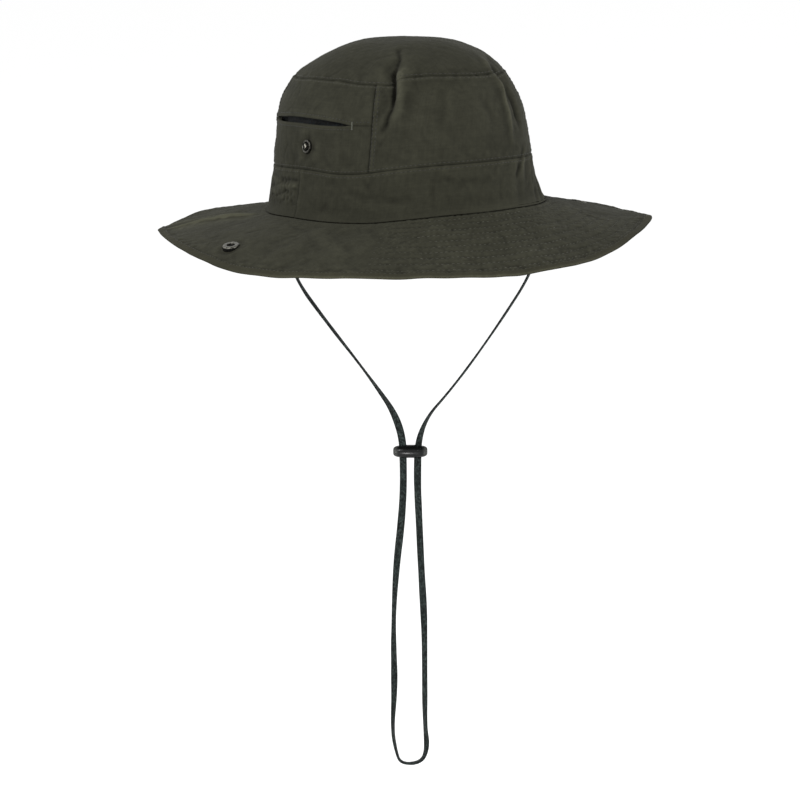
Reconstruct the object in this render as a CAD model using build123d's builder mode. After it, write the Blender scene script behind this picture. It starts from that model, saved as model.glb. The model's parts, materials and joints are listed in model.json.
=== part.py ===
from build123d import *
import math
import os

# ---------------------------------------------------------------------------
# Bucket hat with a snap-up brim and a chin cord.
# Row frame, millimetres: origin at the centre of the head opening, in the
# plane where the crown meets the brim. +Z up, the front of the hat faces -Y,
# the wearer's right ear is on the -X side.
# ---------------------------------------------------------------------------

# head opening, outside of the crown at the brim (size 58 oval)
HEAD_B = 85.0            # half width, ear to ear
HEAD_A = 102.0           # half length, front to back
CLOTH = 1.0              # one cloth panel with its seam allowance

# crown profile: height, fraction of the head opening
BAND = [(0.15, 0.9990), (5.0, 0.9756), (10.0, 0.9634), (15.0, 0.9534), (22.0, 0.9415), (32.0, 0.9268)]
WALL = [(32.0, 0.9268), (43.0, 0.9091), (58.0, 0.8869), (64.0, 0.8736), (72.0, 0.8415), (80.5, 0.7894), (87.3, 0.7273)]
BAND_TOP = 32.0
TIP_SEAM = 87.3
TIP_CENTRE, TIP_RISE, TIP_F = 70.0, 38.8, 0.8126    # the top panel is part of an ellipsoid

SIDE_ANGLE = 42.1        # side panels end this many degrees from the ear line
SLIT_Z = 61.3            # height of the pocket slit
SLIT_HALF, SLIT_GAP = 39.0, 3.4

# brim
EDGE_B, EDGE_A = 154.0, 171.0
INNER_B, INNER_A = 84.0, 101.0
BRIM_Z = -0.4            # top of the brim at the crown
K_EAR, K_FRONT, K_BACK = 7.19, 13.0, 8.2
TOP_T, MID_T, UNDER_T, PLY_GAP = 0.70, 0.60, 0.70, 0.05

# fold of the brim's sides
FOLD_X, FOLD_Z, FOLD_GAP = 91.5, 0.0, 0.4

# snap fastener
STUD_Z = 44.4            # height of the stud on the crown
SNAP_Y = -5.0            # both snap pairs sit a little forward of the ears
SNAP_STACK = 4.0         # crown cloth to brim cloth when the snap is closed

# chin cord and toggle
CORD_D = 2.6             # round tube with the section of the flat 4.2 x 1.25 cord
TOGGLE_L, TOGGLE_W, TOGGLE_H = 22.2, 9.5, 8.4
HOLE_PITCH, HOLE_L, HOLE_W = 9.8, 5.2, 3.2


def brim_height(x, y):
    """Top surface of the brim: a shallow bowl turned over, deepest at the front."""
    xn, yn = x / HEAD_B, y / HEAD_A
    q = xn * xn + yn * yn
    share = 1.1 * yn * yn / (q + 0.3)
    k = K_EAR + share * ((K_FRONT + K_BACK) / 2 - K_EAR)
    k += share * (K_FRONT - K_BACK) / 2 * (-1.05 * yn / math.sqrt(q + 0.3))
    return BRIM_Z - k * (q - 1.0)


def slope(profile, i):
    lo, hi = max(i - 1, 0), min(i + 1, len(profile) - 1)
    return (profile[hi][1] - profile[lo][1]) * 93.5 / (profile[hi][0] - profile[lo][0])


def inset(profile, distance):
    """Sections of a profile moved inward along its normal by distance."""
    rows = []
    for i, (z, f) in enumerate(profile):
        d = distance * math.sqrt(1 + slope(profile, i) ** 2)
        rows.append((z, HEAD_B * f - d, HEAD_A * f - d))
    return rows


def outset(profile):
    return [(z, HEAD_B * f, HEAD_A * f) for z, f in profile]


# --- where the snap parts sit ----------------------------------------------
wall_f = 0.9091 + (0.8869 - 0.9091) * (STUD_Z - 43.0) / 15.0
wall_x = HEAD_B * wall_f
wall_lean = math.degrees(math.atan(HEAD_B * (0.9091 - 0.8869) / 15.0))


# the socket lies where the folded brim brings it onto the stud
socket_x = 138.0
for _ in range(40):
    lean = math.radians(10.0)
    tx, tz = wall_x + SNAP_STACK * math.cos(lean), STUD_Z + SNAP_STACK * math.sin(lean)
    reach = math.hypot(tx - FOLD_X, tz - FOLD_Z)
    here = math.hypot(socket_x - FOLD_X, brim_height(socket_x, SNAP_Y) - FOLD_Z)
    socket_x += (reach - here) * 0.9
socket_z = brim_height(socket_x, SNAP_Y)
rest_angle = math.degrees(math.atan2(socket_z - FOLD_Z, socket_x - FOLD_X))
snap_angle = math.degrees(math.atan2(tz - FOLD_Z, tx - FOLD_X))
FOLD_TURN = snap_angle - rest_angle
brim_slope = math.degrees(math.atan(2 * K_EAR * socket_x / HEAD_B ** 2))
# angle of the stud's axis above the horizontal, and of the socket's axis from vertical, leaning outward
STUD_TILT = 10.0
SOCKET_TILT = 90.0 - (180.0 + STUD_TILT - FOLD_TURN)
print("fold turn", round(FOLD_TURN, 2), "socket x", round(socket_x, 2), "z", round(socket_z, 2))
print("brim slope", round(brim_slope, 2), "socket axis from vertical", round(SOCKET_TILT, 2), "wall lean", round(wall_lean, 2))

st, ct = math.sin(math.radians(STUD_TILT)), math.cos(math.radians(STUD_TILT))
so, co = math.sin(math.radians(SOCKET_TILT)), math.cos(math.radians(SOCKET_TILT))
# snap planes: the normal leaves the cloth
stud_right = Plane(origin=(-wall_x, SNAP_Y, STUD_Z), x_dir=(0, 1, 0), z_dir=(-ct, 0, st))
stud_left = Plane(origin=(wall_x, SNAP_Y, STUD_Z), x_dir=(0, 1, 0), z_dir=(ct, 0, st))
socket_right = Plane(origin=(-socket_x, SNAP_Y, socket_z), x_dir=(0, 1, 0), z_dir=(-so, 0, co))
socket_left = Plane(origin=(socket_x, SNAP_Y, socket_z), x_dir=(0, 1, 0), z_dir=(so, 0, co))

# vertical planes between the side panels and the front and back panels
sa, ca = math.sin(math.radians(SIDE_ANGLE)), math.cos(math.radians(SIDE_ANGLE))
# each normal points to the side panel's half
right_front_cut = Plane(origin=(0, 0, 0), x_dir=(0, 0, 1), z_dir=(-sa, ca, 0))
right_back_cut = Plane(origin=(0, 0, 0), x_dir=(0, 0, 1), z_dir=(-sa, -ca, 0))
left_front_cut = Plane(origin=(0, 0, 0), x_dir=(0, 0, 1), z_dir=(sa, ca, 0))
left_back_cut = Plane(origin=(0, 0, 0), x_dir=(0, 0, 1), z_dir=(sa, -ca, 0))

os.makedirs("parts", exist_ok=True)

# --- crown top panel ---------------------------------------------------------
with BuildPart() as tip_core:
    with BuildSketch(Plane.XZ):
        Ellipse(HEAD_B * TIP_F - CLOTH, TIP_RISE - CLOTH)
        with Locations((HEAD_B, 0)):
            Rectangle(2 * HEAD_B, 3 * TIP_RISE, mode=Mode.INTERSECT)
    revolve(axis=Axis.Z)
inner_tip = scale(tip_core.part, by=(1, (HEAD_A * TIP_F - CLOTH) / (HEAD_B * TIP_F - CLOTH), 1)).moved(Location((0, 0, TIP_CENTRE)))
with BuildPart() as tip_skin:
    with BuildSketch(Plane.XZ):
        Ellipse(HEAD_B * TIP_F, TIP_RISE)
        with Locations((HEAD_B, 0)):
            Rectangle(2 * HEAD_B, 3 * TIP_RISE, mode=Mode.INTERSECT)
    revolve(axis=Axis.Z)
outer_tip = scale(tip_skin.part, by=(1, HEAD_A / HEAD_B, 1)).moved(Location((0, 0, TIP_CENTRE)))

with BuildPart() as crown_tip:
    add(outer_tip)
    add(inner_tip, mode=Mode.SUBTRACT)
    split(bisect_by=Plane.XY.offset(TIP_SEAM), keep=Keep.TOP)
crown_tip.part.label = "crown_tip"
export_step(crown_tip.part, "parts/crown_tip.step")

# --- upper wall of the crown, cut into panels ---------------------------------
with BuildPart() as wall:
    for z, b, a in outset(WALL):
        with BuildSketch(Plane.XY.offset(z)):
            Ellipse(b, a)
    loft()
    for z, b, a in inset(WALL, CLOTH):
        with BuildSketch(Plane.XY.offset(z)):
            Ellipse(b, a)
    loft(mode=Mode.SUBTRACT)

with BuildPart() as crown_front_panel:
    add(wall.part)
    split(bisect_by=right_front_cut, keep=Keep.BOTTOM)
    split(bisect_by=left_front_cut, keep=Keep.BOTTOM)
crown_front_panel.part.label = "crown_front_panel"
export_step(crown_front_panel.part, "parts/crown_front_panel.step")

with BuildPart() as crown_back_panel:
    add(wall.part)
    split(bisect_by=right_back_cut, keep=Keep.BOTTOM)
    split(bisect_by=left_back_cut, keep=Keep.BOTTOM)
crown_back_panel.part.label = "crown_back_panel"
export_step(crown_back_panel.part, "parts/crown_back_panel.step")

with BuildPart() as crown_left_panel:
    add(wall.part)
    split(bisect_by=left_front_cut, keep=Keep.TOP)
    split(bisect_by=left_back_cut, keep=Keep.TOP)
    with BuildSketch(stud_left.offset(-6)):
        Circle(1.5)
    extrude(amount=12, mode=Mode.SUBTRACT)
crown_left_panel.part.label = "crown_left_panel"
export_step(crown_left_panel.part, "parts/crown_left_panel.step")

with BuildPart() as pocket_yoke:
    add(wall.part)
    split(bisect_by=right_front_cut, keep=Keep.TOP)
    split(bisect_by=right_back_cut, keep=Keep.TOP)
    split(bisect_by=Plane.XY.offset(SLIT_Z), keep=Keep.TOP)
    with BuildSketch(Plane.YZ.offset(-120)):
        with Locations((0, SLIT_Z)):
            Ellipse(SLIT_HALF, SLIT_GAP / 2)
    extrude(amount=100, mode=Mode.SUBTRACT)
pocket_yoke.part.label = "pocket_yoke"
export_step(pocket_yoke.part, "parts/pocket_yoke.step")

with BuildPart() as pocket_front:
    add(wall.part)
    split(bisect_by=right_front_cut, keep=Keep.TOP)
    split(bisect_by=right_back_cut, keep=Keep.TOP)
    split(bisect_by=Plane.XY.offset(SLIT_Z), keep=Keep.BOTTOM)
    with BuildSketch(Plane.YZ.offset(-120)):
        with Locations((0, SLIT_Z)):
            Ellipse(SLIT_HALF, SLIT_GAP / 2)
    extrude(amount=100, mode=Mode.SUBTRACT)
    with BuildSketch(stud_right.offset(-6)):
        Circle(1.5)
    extrude(amount=12, mode=Mode.SUBTRACT)
pocket_front.part.label = "pocket_front"
export_step(pocket_front.part, "parts/pocket_front.step")

# --- mesh pocket bag behind the slit -------------------------------------------
MESH = [(z, f) for z, f in WALL if 32.0 < z < 87.0]
with BuildPart() as pocket_mesh:
    for z, b, a in inset(MESH, 4.2):
        with BuildSketch(Plane.XY.offset(z)):
            Ellipse(b, a)
    loft()
    for z, b, a in inset(MESH, 4.8):
        with BuildSketch(Plane.XY.offset(z)):
            Ellipse(b, a)
    loft(mode=Mode.SUBTRACT)
    split(bisect_by=right_front_cut, keep=Keep.TOP)
    split(bisect_by=right_back_cut, keep=Keep.TOP)
pocket_mesh.part.label = "pocket_mesh"
export_step(pocket_mesh.part, "parts/pocket_mesh.step")

# --- lower band, two halves joined on the ear line ------------------------------
with BuildPart() as band:
    for z, b, a in outset(BAND):
        with BuildSketch(Plane.XY.offset(z)):
            Ellipse(b, a)
    loft()
    for z, b, a in inset(BAND, CLOTH):
        with BuildSketch(Plane.XY.offset(z)):
            Ellipse(b, a)
    loft(mode=Mode.SUBTRACT)

with BuildPart() as band_front:
    add(band.part)
    split(bisect_by=Plane.XZ, keep=Keep.TOP)
band_front.part.label = "band_front"
export_step(band_front.part, "parts/band_front.step")

with BuildPart() as band_back:
    add(band.part)
    split(bisect_by=Plane.XZ, keep=Keep.BOTTOM)
band_back.part.label = "band_back"
export_step(band_back.part, "parts/band_back.step")

# --- sweatband inside the band ---------------------------------------------------
SWEAT = [(-2.6, 0.9990), (0.15, 0.9960), (5.0, 0.9756), (10.0, 0.9634), (15.0, 0.9534), (22.0, 0.9415), (28.0, 0.9322)]
with BuildPart() as sweatband:
    for z, b, a in inset(SWEAT, CLOTH + 0.50):
        with BuildSketch(Plane.XY.offset(z)):
            Ellipse(b, a)
    loft()
    for z, b, a in inset(SWEAT, CLOTH + 1.30):
        with BuildSketch(Plane.XY.offset(z)):
            Ellipse(b, a)
    loft(mode=Mode.SUBTRACT)
sweatband.part.label = "sweatband"
export_step(sweatband.part, "parts/sweatband.step")

# --- brim: three plies, each cut at the two fold lines ----------------------------
rows = []
for j in range(-8, 9):
    rows.append([Vector(i * 21.0, j * 22.5, brim_height(i * 21.0, j * 22.5)) for i in range(-8, 9)])
brim_face = Face.make_surface_from_array_of_points(rows, tol=1e-2, min_deg=3, max_deg=3)

DROP_MID = TOP_T + PLY_GAP
DROP_UNDER = DROP_MID + MID_T + PLY_GAP
BRIM_T = DROP_UNDER + UNDER_T

for base, depth, thick in (("top", 0.0, TOP_T), ("interlining", DROP_MID, MID_T), ("under", DROP_UNDER, UNDER_T)):
    sheet = brim_face.moved(Location((0, 0, -depth)))
    with BuildPart() as centre:
        extrude(sheet, amount=thick, dir=(0, 0, -1))
        with BuildSketch(Plane.XY.offset(-60)):
            Ellipse(EDGE_B, EDGE_A)
            Ellipse(INNER_B, INNER_A, mode=Mode.SUBTRACT)
            Rectangle(2 * (FOLD_X - FOLD_GAP), 400, mode=Mode.INTERSECT)
        extrude(amount=90, mode=Mode.INTERSECT)
    centre.part.label = "brim_" + base
    export_step(centre.part, "parts/brim_" + base + ".step")

    for side, sign, snap in (("right", -1, socket_right), ("left", 1, socket_left)):
        with BuildPart() as wing:
            extrude(sheet, amount=thick, dir=(0, 0, -1))
            with BuildSketch(Plane.XY.offset(-60)):
                Ellipse(EDGE_B, EDGE_A)
                with Locations((sign * (FOLD_X + FOLD_GAP + 50), 0)):
                    Rectangle(100, 400, mode=Mode.INTERSECT)
            extrude(amount=90, mode=Mode.INTERSECT)
            with BuildSketch(snap.offset(-6)):
                Circle(1.5)
            extrude(amount=12, mode=Mode.SUBTRACT)
        wing.part.label = side + "_wing_" + base
        export_step(wing.part, "parts/" + side + "_wing_" + base + ".step")

# --- snap fasteners -----------------------------------------------------------------
for side, stud_plane, socket_plane in (("right", stud_right, socket_right), ("left", stud_left, socket_left)):
    with BuildPart() as stud:
        with BuildSketch(stud_plane.offset(0.32)):
            Circle(4.8)
        extrude(amount=0.68)
        fillet(stud.faces().sort_by(Axis(stud_plane.origin, stud_plane.z_dir))[-1].edges(), 0.3)
        with BuildSketch(stud_plane.offset(0.9)):
            Circle(2.1)
        extrude(amount=1.8)
        fillet(stud.faces().sort_by(Axis(stud_plane.origin, stud_plane.z_dir))[-1].edges(), 0.6)
        with BuildSketch(stud_plane):
            Circle(1.4)
        extrude(amount=1.9, mode=Mode.SUBTRACT)
    stud.part.label = "crown_stud_" + side
    export_step(stud.part, "parts/crown_stud_" + side + ".step")

    with BuildPart() as post:
        with BuildSketch(stud_plane.offset(-2.2)):
            Circle(4.2)
        extrude(amount=0.7)
        fillet(post.faces().sort_by(Axis(stud_plane.origin, stud_plane.z_dir))[0].edges(), 0.3)
        with BuildSketch(stud_plane.offset(-1.6)):
            Circle(1.2)
        extrude(amount=3.3)
    post.part.label = "crown_post_" + side
    export_step(post.part, "parts/crown_post_" + side + ".step")

    with BuildPart() as socket:
        with BuildSketch(socket_plane.offset(0.35)):
            Circle(5.9)
        extrude(amount=2.25)
        fillet(socket.faces().sort_by(Axis(socket_plane.origin, socket_plane.z_dir))[-1].edges(), 0.9)
        with BuildSketch(socket_plane.offset(0.95)):
            Circle(2.6)
        extrude(amount=3.0, mode=Mode.SUBTRACT)
        with BuildSketch(socket_plane):
            Circle(1.4)
        extrude(amount=2.0, mode=Mode.SUBTRACT)
    socket.part.label = "brim_socket_" + side
    export_step(socket.part, "parts/brim_socket_" + side + ".step")

    with BuildPart() as cap:
        with BuildSketch(socket_plane.offset(-3.4)):
            Circle(5.8)
        extrude(amount=0.9)
        fillet(cap.faces().sort_by(Axis(socket_plane.origin, socket_plane.z_dir))[0].edges(), 0.6)
        with BuildSketch(socket_plane.offset(-2.6)):
            Circle(1.2)
        extrude(amount=3.45)
    cap.part.label = "brim_cap_" + side
    export_step(cap.part, "parts/brim_cap_" + side + ".step")

# --- chin cord: one length, both ends sewn into the crown seam -----------------------
ROUTE = [
    (-85.5, -5.4, -2.6), (-91.5, -4.5, -16.5), (-93.6, -3.3, -36.5), (-64.6, -1.2, -70.2), (-34.6, 1.0, -107.0),
    (-3.9, 6.2, -147.4), (-3.9, 8.5, -184.2), (-4.8, 10.8, -213.1), (-8.4, 15.2, -244.9), (-8.4, 17.9, -286.8),
    (-7.4, 19.6, -327.7), (-10.3, 23.5, -357.6), (-8.9, 23.4, -372.6), (-2.5, 19.7, -382.5), (5.5, 14.3, -382.0),
    (10.8, 10.1, -371.5), (10.3, 9.4, -354.5), (8.5, 8.8, -325.5), (8.3, 6.4, -283.5), (6.0, 5.5, -243.5),
    (5.5, 3.7, -209.6), (4.3, 3.0, -184.6), (4.3, 0.8, -148.7), (36.8, 2.2, -125.7), (69.6, 0.1, -91.6),
    (101.9, -2.3, -53.0), (99.8, -3.6, -31.0), (92.6, -4.6, -15.5), (85.5, -5.4, -2.6),
]
TOGGLE_AT = (0.19, 4.62, -165.42)
TOGGLE_ALONG = (0.8295, -0.5574, -0.0341)       # across the two strands
CORD_DOWN = (0.0, 0.06105, -0.99813)            # the way the cord hangs
route = [Vector(*p) for p in ROUTE]
radii = []
for i in range(1, len(route) - 1):
    before, after = route[i] - route[i - 1], route[i + 1] - route[i]
    turn = math.radians(before.get_angle(after))
    radii.append(0.45 * min(before.length, after.length) / math.tan(turn / 2))
print("cord radii", [round(r, 1) for r in radii])
print("cord runs", [round((route[i + 1] - route[i]).length, 1) for i in range(len(route) - 1)])

with BuildPart() as chin_cord:
    with BuildLine() as cord_line:
        FilletPolyline(*route, radius=radii)
    with BuildSketch(Plane(origin=route[0], z_dir=route[1] - route[0])):
        Circle(CORD_D / 2)
    sweep(path=cord_line.line)
chin_cord.part.label = "chin_cord"
cord_length = sum(e.length for e in cord_line.line.edges())
print("cord length", round(cord_length, 1), "volume", round(chin_cord.part.volume, 1),
      "section x length", round(math.pi * CORD_D ** 2 / 4 * cord_length, 1))
export_step(chin_cord.part, "parts/chin_cord.step")

toggle_plane = Plane(origin=TOGGLE_AT, x_dir=TOGGLE_ALONG, z_dir=(-CORD_DOWN[0], -CORD_DOWN[1], -CORD_DOWN[2]))
with BuildPart() as cord_toggle:
    with BuildSketch(toggle_plane.offset(-TOGGLE_H / 2)):
        SlotOverall(TOGGLE_L, TOGGLE_W)
    extrude(amount=TOGGLE_H)
    fillet(cord_toggle.faces().sort_by(Axis(toggle_plane.origin, toggle_plane.z_dir))[-1].edges(), 3.4)
    fillet(cord_toggle.faces().sort_by(Axis(toggle_plane.origin, toggle_plane.z_dir))[0].edges(), 3.4)
    with BuildSketch(toggle_plane.offset(-TOGGLE_H)):
        with Locations((-HOLE_PITCH / 2, 0), (HOLE_PITCH / 2, 0)):
            SlotOverall(HOLE_L, HOLE_W)
    extrude(amount=2 * TOGGLE_H, mode=Mode.SUBTRACT)
cord_toggle.part.label = "cord_toggle"
export_step(cord_toggle.part, "parts/cord_toggle.step")
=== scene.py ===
import json
import math

import bmesh
import bpy
import numpy as np
from mathutils import Matrix, Vector

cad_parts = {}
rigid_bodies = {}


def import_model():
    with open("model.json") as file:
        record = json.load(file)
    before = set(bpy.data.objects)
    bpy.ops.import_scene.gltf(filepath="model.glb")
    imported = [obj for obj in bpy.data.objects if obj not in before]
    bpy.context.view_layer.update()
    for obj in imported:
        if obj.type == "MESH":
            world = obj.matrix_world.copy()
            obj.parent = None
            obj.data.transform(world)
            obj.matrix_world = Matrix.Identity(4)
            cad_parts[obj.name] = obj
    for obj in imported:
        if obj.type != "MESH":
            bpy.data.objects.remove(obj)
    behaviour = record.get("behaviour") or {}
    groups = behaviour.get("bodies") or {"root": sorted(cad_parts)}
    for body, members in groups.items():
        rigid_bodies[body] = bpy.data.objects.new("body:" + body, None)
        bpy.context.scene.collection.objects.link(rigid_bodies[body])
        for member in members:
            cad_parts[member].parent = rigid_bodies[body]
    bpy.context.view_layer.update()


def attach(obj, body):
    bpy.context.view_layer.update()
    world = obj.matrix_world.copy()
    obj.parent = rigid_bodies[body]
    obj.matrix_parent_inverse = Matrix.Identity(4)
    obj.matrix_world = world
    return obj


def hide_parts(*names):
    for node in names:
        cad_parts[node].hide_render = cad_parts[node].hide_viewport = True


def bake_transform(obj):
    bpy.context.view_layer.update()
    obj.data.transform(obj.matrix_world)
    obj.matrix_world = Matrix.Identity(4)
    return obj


# ---------------------------------------------------------------------------
# Bucket hat. All shapes are worked out in millimetres in the row frame
# (origin in the head opening, +Z up, front -Y, wearer's right ear -X) and
# scaled to metres when a mesh is made. "t" is an angle around the head in
# degrees: 0 at the wearer's right ear, 90 at the front, 180 at the left ear.
# ---------------------------------------------------------------------------

for o in list(bpy.data.objects):
    bpy.data.objects.remove(o)

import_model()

MM = 0.001
RNG = np.random.default_rng(7)


# --- small numeric tools ----------------------------------------------------
def smooth01(x):
    x = np.clip(x, 0.0, 1.0)
    return x * x * (3 - 2 * x)


def bell(x, w):
    return np.exp(-((x / w) ** 2))


def hermite(A, V, x):
    h = np.diff(A)
    d = np.diff(V) / h
    m = np.zeros(len(A))
    same = d[:-1] * d[1:] > 0
    w1, w2 = 2 * h[1:] + h[:-1], h[1:] + 2 * h[:-1]
    m[1:-1][same] = ((w1 + w2)[same]) / (w1[same] / d[:-1][same] + w2[same] / d[1:][same])
    m[0], m[-1] = d[0], d[-1]
    i = np.clip(np.searchsorted(A, x, side="right") - 1, 0, len(A) - 2)
    s = np.clip((x - A[i]) / h[i], 0, 1)
    s2, s3 = s * s, s * s * s
    return (2 * s3 - 3 * s2 + 1) * V[i] + (s3 - 2 * s2 + s) * h[i] * m[i] + (3 * s2 - 2 * s3) * V[i + 1] + (s3 - s2) * h[i] * m[i + 1]


def ring(points):
    """A closed curve of values over the angle around the head."""
    p = sorted((a % 360.0, v) for a, v in points)
    a, v = np.array([q[0] for q in p]), np.array([q[1] for q in p])
    A, V = np.concatenate([a - 360, a, a + 360]), np.tile(v, 3)
    return lambda t: hermite(A, V, np.mod(np.asarray(t, float), 360.0))


def curve(points):
    A, V = np.array([float(p[0]) for p in points]), np.array([float(p[1]) for p in points])
    return lambda x: hermite(A, V, np.clip(np.asarray(x, float), A[0], A[-1]))


def waves(P, seed, length, n=14):
    """Smooth, seeded noise at about that wavelength, roughly -1 to 1."""
    rng = np.random.default_rng(seed)
    out = np.zeros(P.shape[:-1])
    for _ in range(n):
        d = rng.normal(size=3)
        d /= np.linalg.norm(d)
        k = 2 * math.pi / (length * rng.uniform(0.7, 1.6))
        out += np.sin(P @ (d * k) + rng.uniform(0, 6.283))
    return out / math.sqrt(n)


# --- the hat's own shape ------------------------------------------------------
HEAD_B, HEAD_A = 85.0, 102.0
EDGE_B, EDGE_A = 154.0, 171.0
K_EAR, K_FRONT, K_BACK = 7.19, 13.0, 8.2
PROFILE = [(-3.0, 1.0100), (0.0, 1.0000), (2.0, 0.9880), (5.0, 0.9756), (10.0, 0.9634), (15.0, 0.9534), (22.0, 0.9415), (32.0, 0.9268),
           (43.0, 0.9091), (58.0, 0.8869), (64.0, 0.8736), (72.0, 0.8415), (80.5, 0.7894), (87.3, 0.7273)]
share_at = curve(PROFILE)
TIP_Z, TIP_RISE, TIP_F = 70.0, 38.8, 0.8126

# the seam between crown and brim isn't level: it rises to the front
seam_rise = ring([(-36, -3.4), (1, -0.6), (14, -0.6), (29, -0.2), (36, 0.3), (45, 1.7), (54, 3.1), (69, 4.6), (84, 5.0), (98, 5.0),
                  (113, 4.1), (147, 1.5), (180, 0.0), (215, -1.6), (270, -3.0), (300, -3.4)])
# height of the brim's edge
edge_z = ring([(-90, -16.1), (-84, -15.7), (-78, -15.1), (-72, -14.6), (-66, -14.9), (-60, -15.5), (-54, -16.2), (-48, -16.3), (-42, -15.8), (-38, -13.7),
               (-34, -12.1), (-28, -11.7), (-24, -12.0), (-20, -12.6), (-16, -13.1), (-12, -14.0), (-8, -15.3), (-4, -16.7), (0, -18.2), (4, -19.6),
               (8, -20.9), (12, -22.0), (16, -22.5), (20, -22.7), (25, -22.7), (30, -22.4), (35, -21.7), (40, -21.1), (46, -21.0), (52, -21.3),
               (58, -21.5), (65, -22.0), (73, -22.9), (80, -22.5), (87, -21.6), (93, -20.8), (98, -19.9), (102, -18.8), (106, -17.3), (109, -16.1),
               (112, -14.9), (115, -13.8), (118, -12.8), (121, -11.8), (124, -11.1), (127, -10.5), (130, -10.0), (136, -9.4), (140, -10.7), (144, -12.3),
               (148, -14.0), (154, -15.5), (160, -16.5), (166, -17.0), (172, -17.1), (178, -16.9), (184, -16.5), (190, -16.2), (200, -16.0), (235, -15.9)])
edge_out = ring([(-60, 0.0), (-54, 0.3), (-48, 1.5), (-42, 3.8), (-38, 2.9), (-34, 1.5), (-30, 0.5), (-25, -0.4), (-18, -0.8), (-10, -1.3), (0, -1.1),
                 (5, -0.1), (9, 0.0), (50, 0.0), (92, 0.0), (98, -1.0), (106, -1.3), (112, -1.5), (118, -1.8), (124, -2.6), (130, -3.1), (136, -2.4),
                 (140, -2.2), (144, -1.5), (148, -0.3), (154, 0.0), (180, 0.0), (240, 0.0)])
# the brim's cloth hangs a little hollow behind and at the left
sag = ring([(-100, -2.6), (-82, -2.6), (-70, -1.2), (-55, -0.2), (-40, 0.0), (0, 0.0), (90, 0.0), (140, 0.0), (155, -0.8), (168, -2.0), (180, -2.1), (200, -2.3), (235, -2.5)])
side_left = curve([(0.0, 0.1), (0.18, 0.6), (0.56, 0.95), (0.91, 0.05), (1.20, 0.5), (1.46, 0.75), (1.58, 1.0), (1.74, 1.5), (1.88, 1.1), (1.96, 1.1), (2.11, -0.6),
                   (2.25, -1.2), (2.50, -0.5), (2.8, 0.0), (3.0, 0.0)])
side_right = curve([(0.0, -0.3), (0.33, -1.6), (0.55, -2.4), (0.91, -2.4), (1.22, -2.0), (1.50, -2.8), (1.70, -3.2), (1.88, -3.0), (2.03, -2.4), (2.20, -1.9), (2.40, -2.3),
                    (2.60, -0.9), (2.85, 0.0), (3.0, 0.0)])


edge_fix = ring([(-90, -0.5), (-84, -0.7), (-80, -1.3), (-76, -1.3), (-72, -0.5), (-68, 0.1), (-64, 1.0), (-60, 1.07), (-56, 0.75), (-52, 0.12), (-48, -0.5),
                 (-44, -1.1), (-40, -1.0), (-36, -1.0), (-32, -1.3), (-28, -1.7), (-24, -2.0), (-16, -2.3), (-8, -2.1), (-4, -1.4), (0, -1.0), (8, -1.1), (14, -0.7),
                 (30, -0.8), (60, -0.65), (74, -0.7), (79, -1.5), (92, -1.5), (97, -0.8), (106, -0.7), (112, 0.1), (116, 0.9), (120, 1.3), (128, 1.3), (132, 0.9),
                 (136, 0.2), (140, -0.6), (146, -1.0), (152, -1.0), (158, -0.6), (166, -0.2), (176, 0.0), (240, 0.0), (262, -0.3)])


edge_trim = ring([(-90, -0.1), (-76, -0.1), (-64, 0.35), (-58, 0.55), (-52, 0.5), (-47, 0.3), (-43, 0.1), (-38, 0.3), (-32, -0.05), (-24, -0.3), (-10, -0.33), (8, -0.33),
                  (22, -0.38), (32, -0.5), (44, -0.38), (54, -0.35), (64, -0.3), (76, -0.3), (84, -0.5), (90, -0.5), (96, -0.4), (102, -0.55), (108, -0.8), (112, -1.0),
                  (116, -1.1), (120, -0.9), (124, -0.2), (128, 0.6), (132, 1.15), (137, 1.8), (142, 1.95), (147, 1.6), (152, 1.0), (158, 0.6), (164, 0.5), (170, 0.6),
                  (176, 0.3), (186, 0.12), (235, 0.1), (262, -0.05)])


def brim_height(x, y):
    xn, yn = x / HEAD_B, y / HEAD_A
    q = xn * xn + yn * yn
    share = 1.1 * yn * yn / (q + 0.3)
    k = K_EAR + share * ((K_FRONT + K_BACK) / 2 - K_EAR)
    k = k + share * (K_FRONT - K_BACK) / 2 * (-1.05 * yn / np.sqrt(q + 0.3))
    return -0.4 - k * (q - 1.0)


def level(v):
    """Nominal height of crown parameter v: 0-1 band, 1-2 side panels, 2-3 top panel."""
    r = 0.7273 * (3 - v)
    top = TIP_Z + TIP_RISE * np.sqrt(np.maximum(1 - (np.clip(r, 0, 0.8) / TIP_F) ** 2, 1e-4))
    return np.where(v < 1, 32.0 * v, np.where(v < 2, 32 + 55.3 * (v - 1), top))


def v_of(z):
    """The other way round, for heights up to the top panel."""
    z = np.asarray(z, float)
    return np.where(z < 32, z / 32.0, np.where(z < 87.3, 1 + (z - 32) / 55.3, 3 - TIP_F * np.sqrt(np.maximum(1 - ((z - TIP_Z) / TIP_RISE) ** 2, 0)) / 0.7273))


def crown_base(t, v):
    tr = np.radians(t)
    z = level(v)
    f = np.where(v < 2, share_at(np.minimum(z, 87.3)), 0.7273 * (3 - v))
    lift = np.where(v < 2, seam_rise(t) * (1 - 0.2 * z / 87.3), seam_rise(t) * 0.8 * (3 - v) + 0.9 * (v - 2))
    return np.stack([-HEAD_B * f * np.cos(tr), -HEAD_A * f * np.sin(tr), z + lift], -1)


# length along the cloth from the brim seam, up over the top
_v = np.linspace(0, 3, 601)
_p = crown_base(np.full(601, 45.0), _v)
_m = np.concatenate([[0], np.cumsum(np.linalg.norm(np.diff(_p, axis=0), axis=1))])


def along_up(v):
    return np.interp(v, _v, _m)


def around(t, v):
    """Length around the head from the right ear at that height."""
    z = level(v)
    f = np.where(v < 2, share_at(np.minimum(z, 87.3)), 0.7273 * (3 - v))
    return np.radians(t) * 93.9 * f


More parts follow.
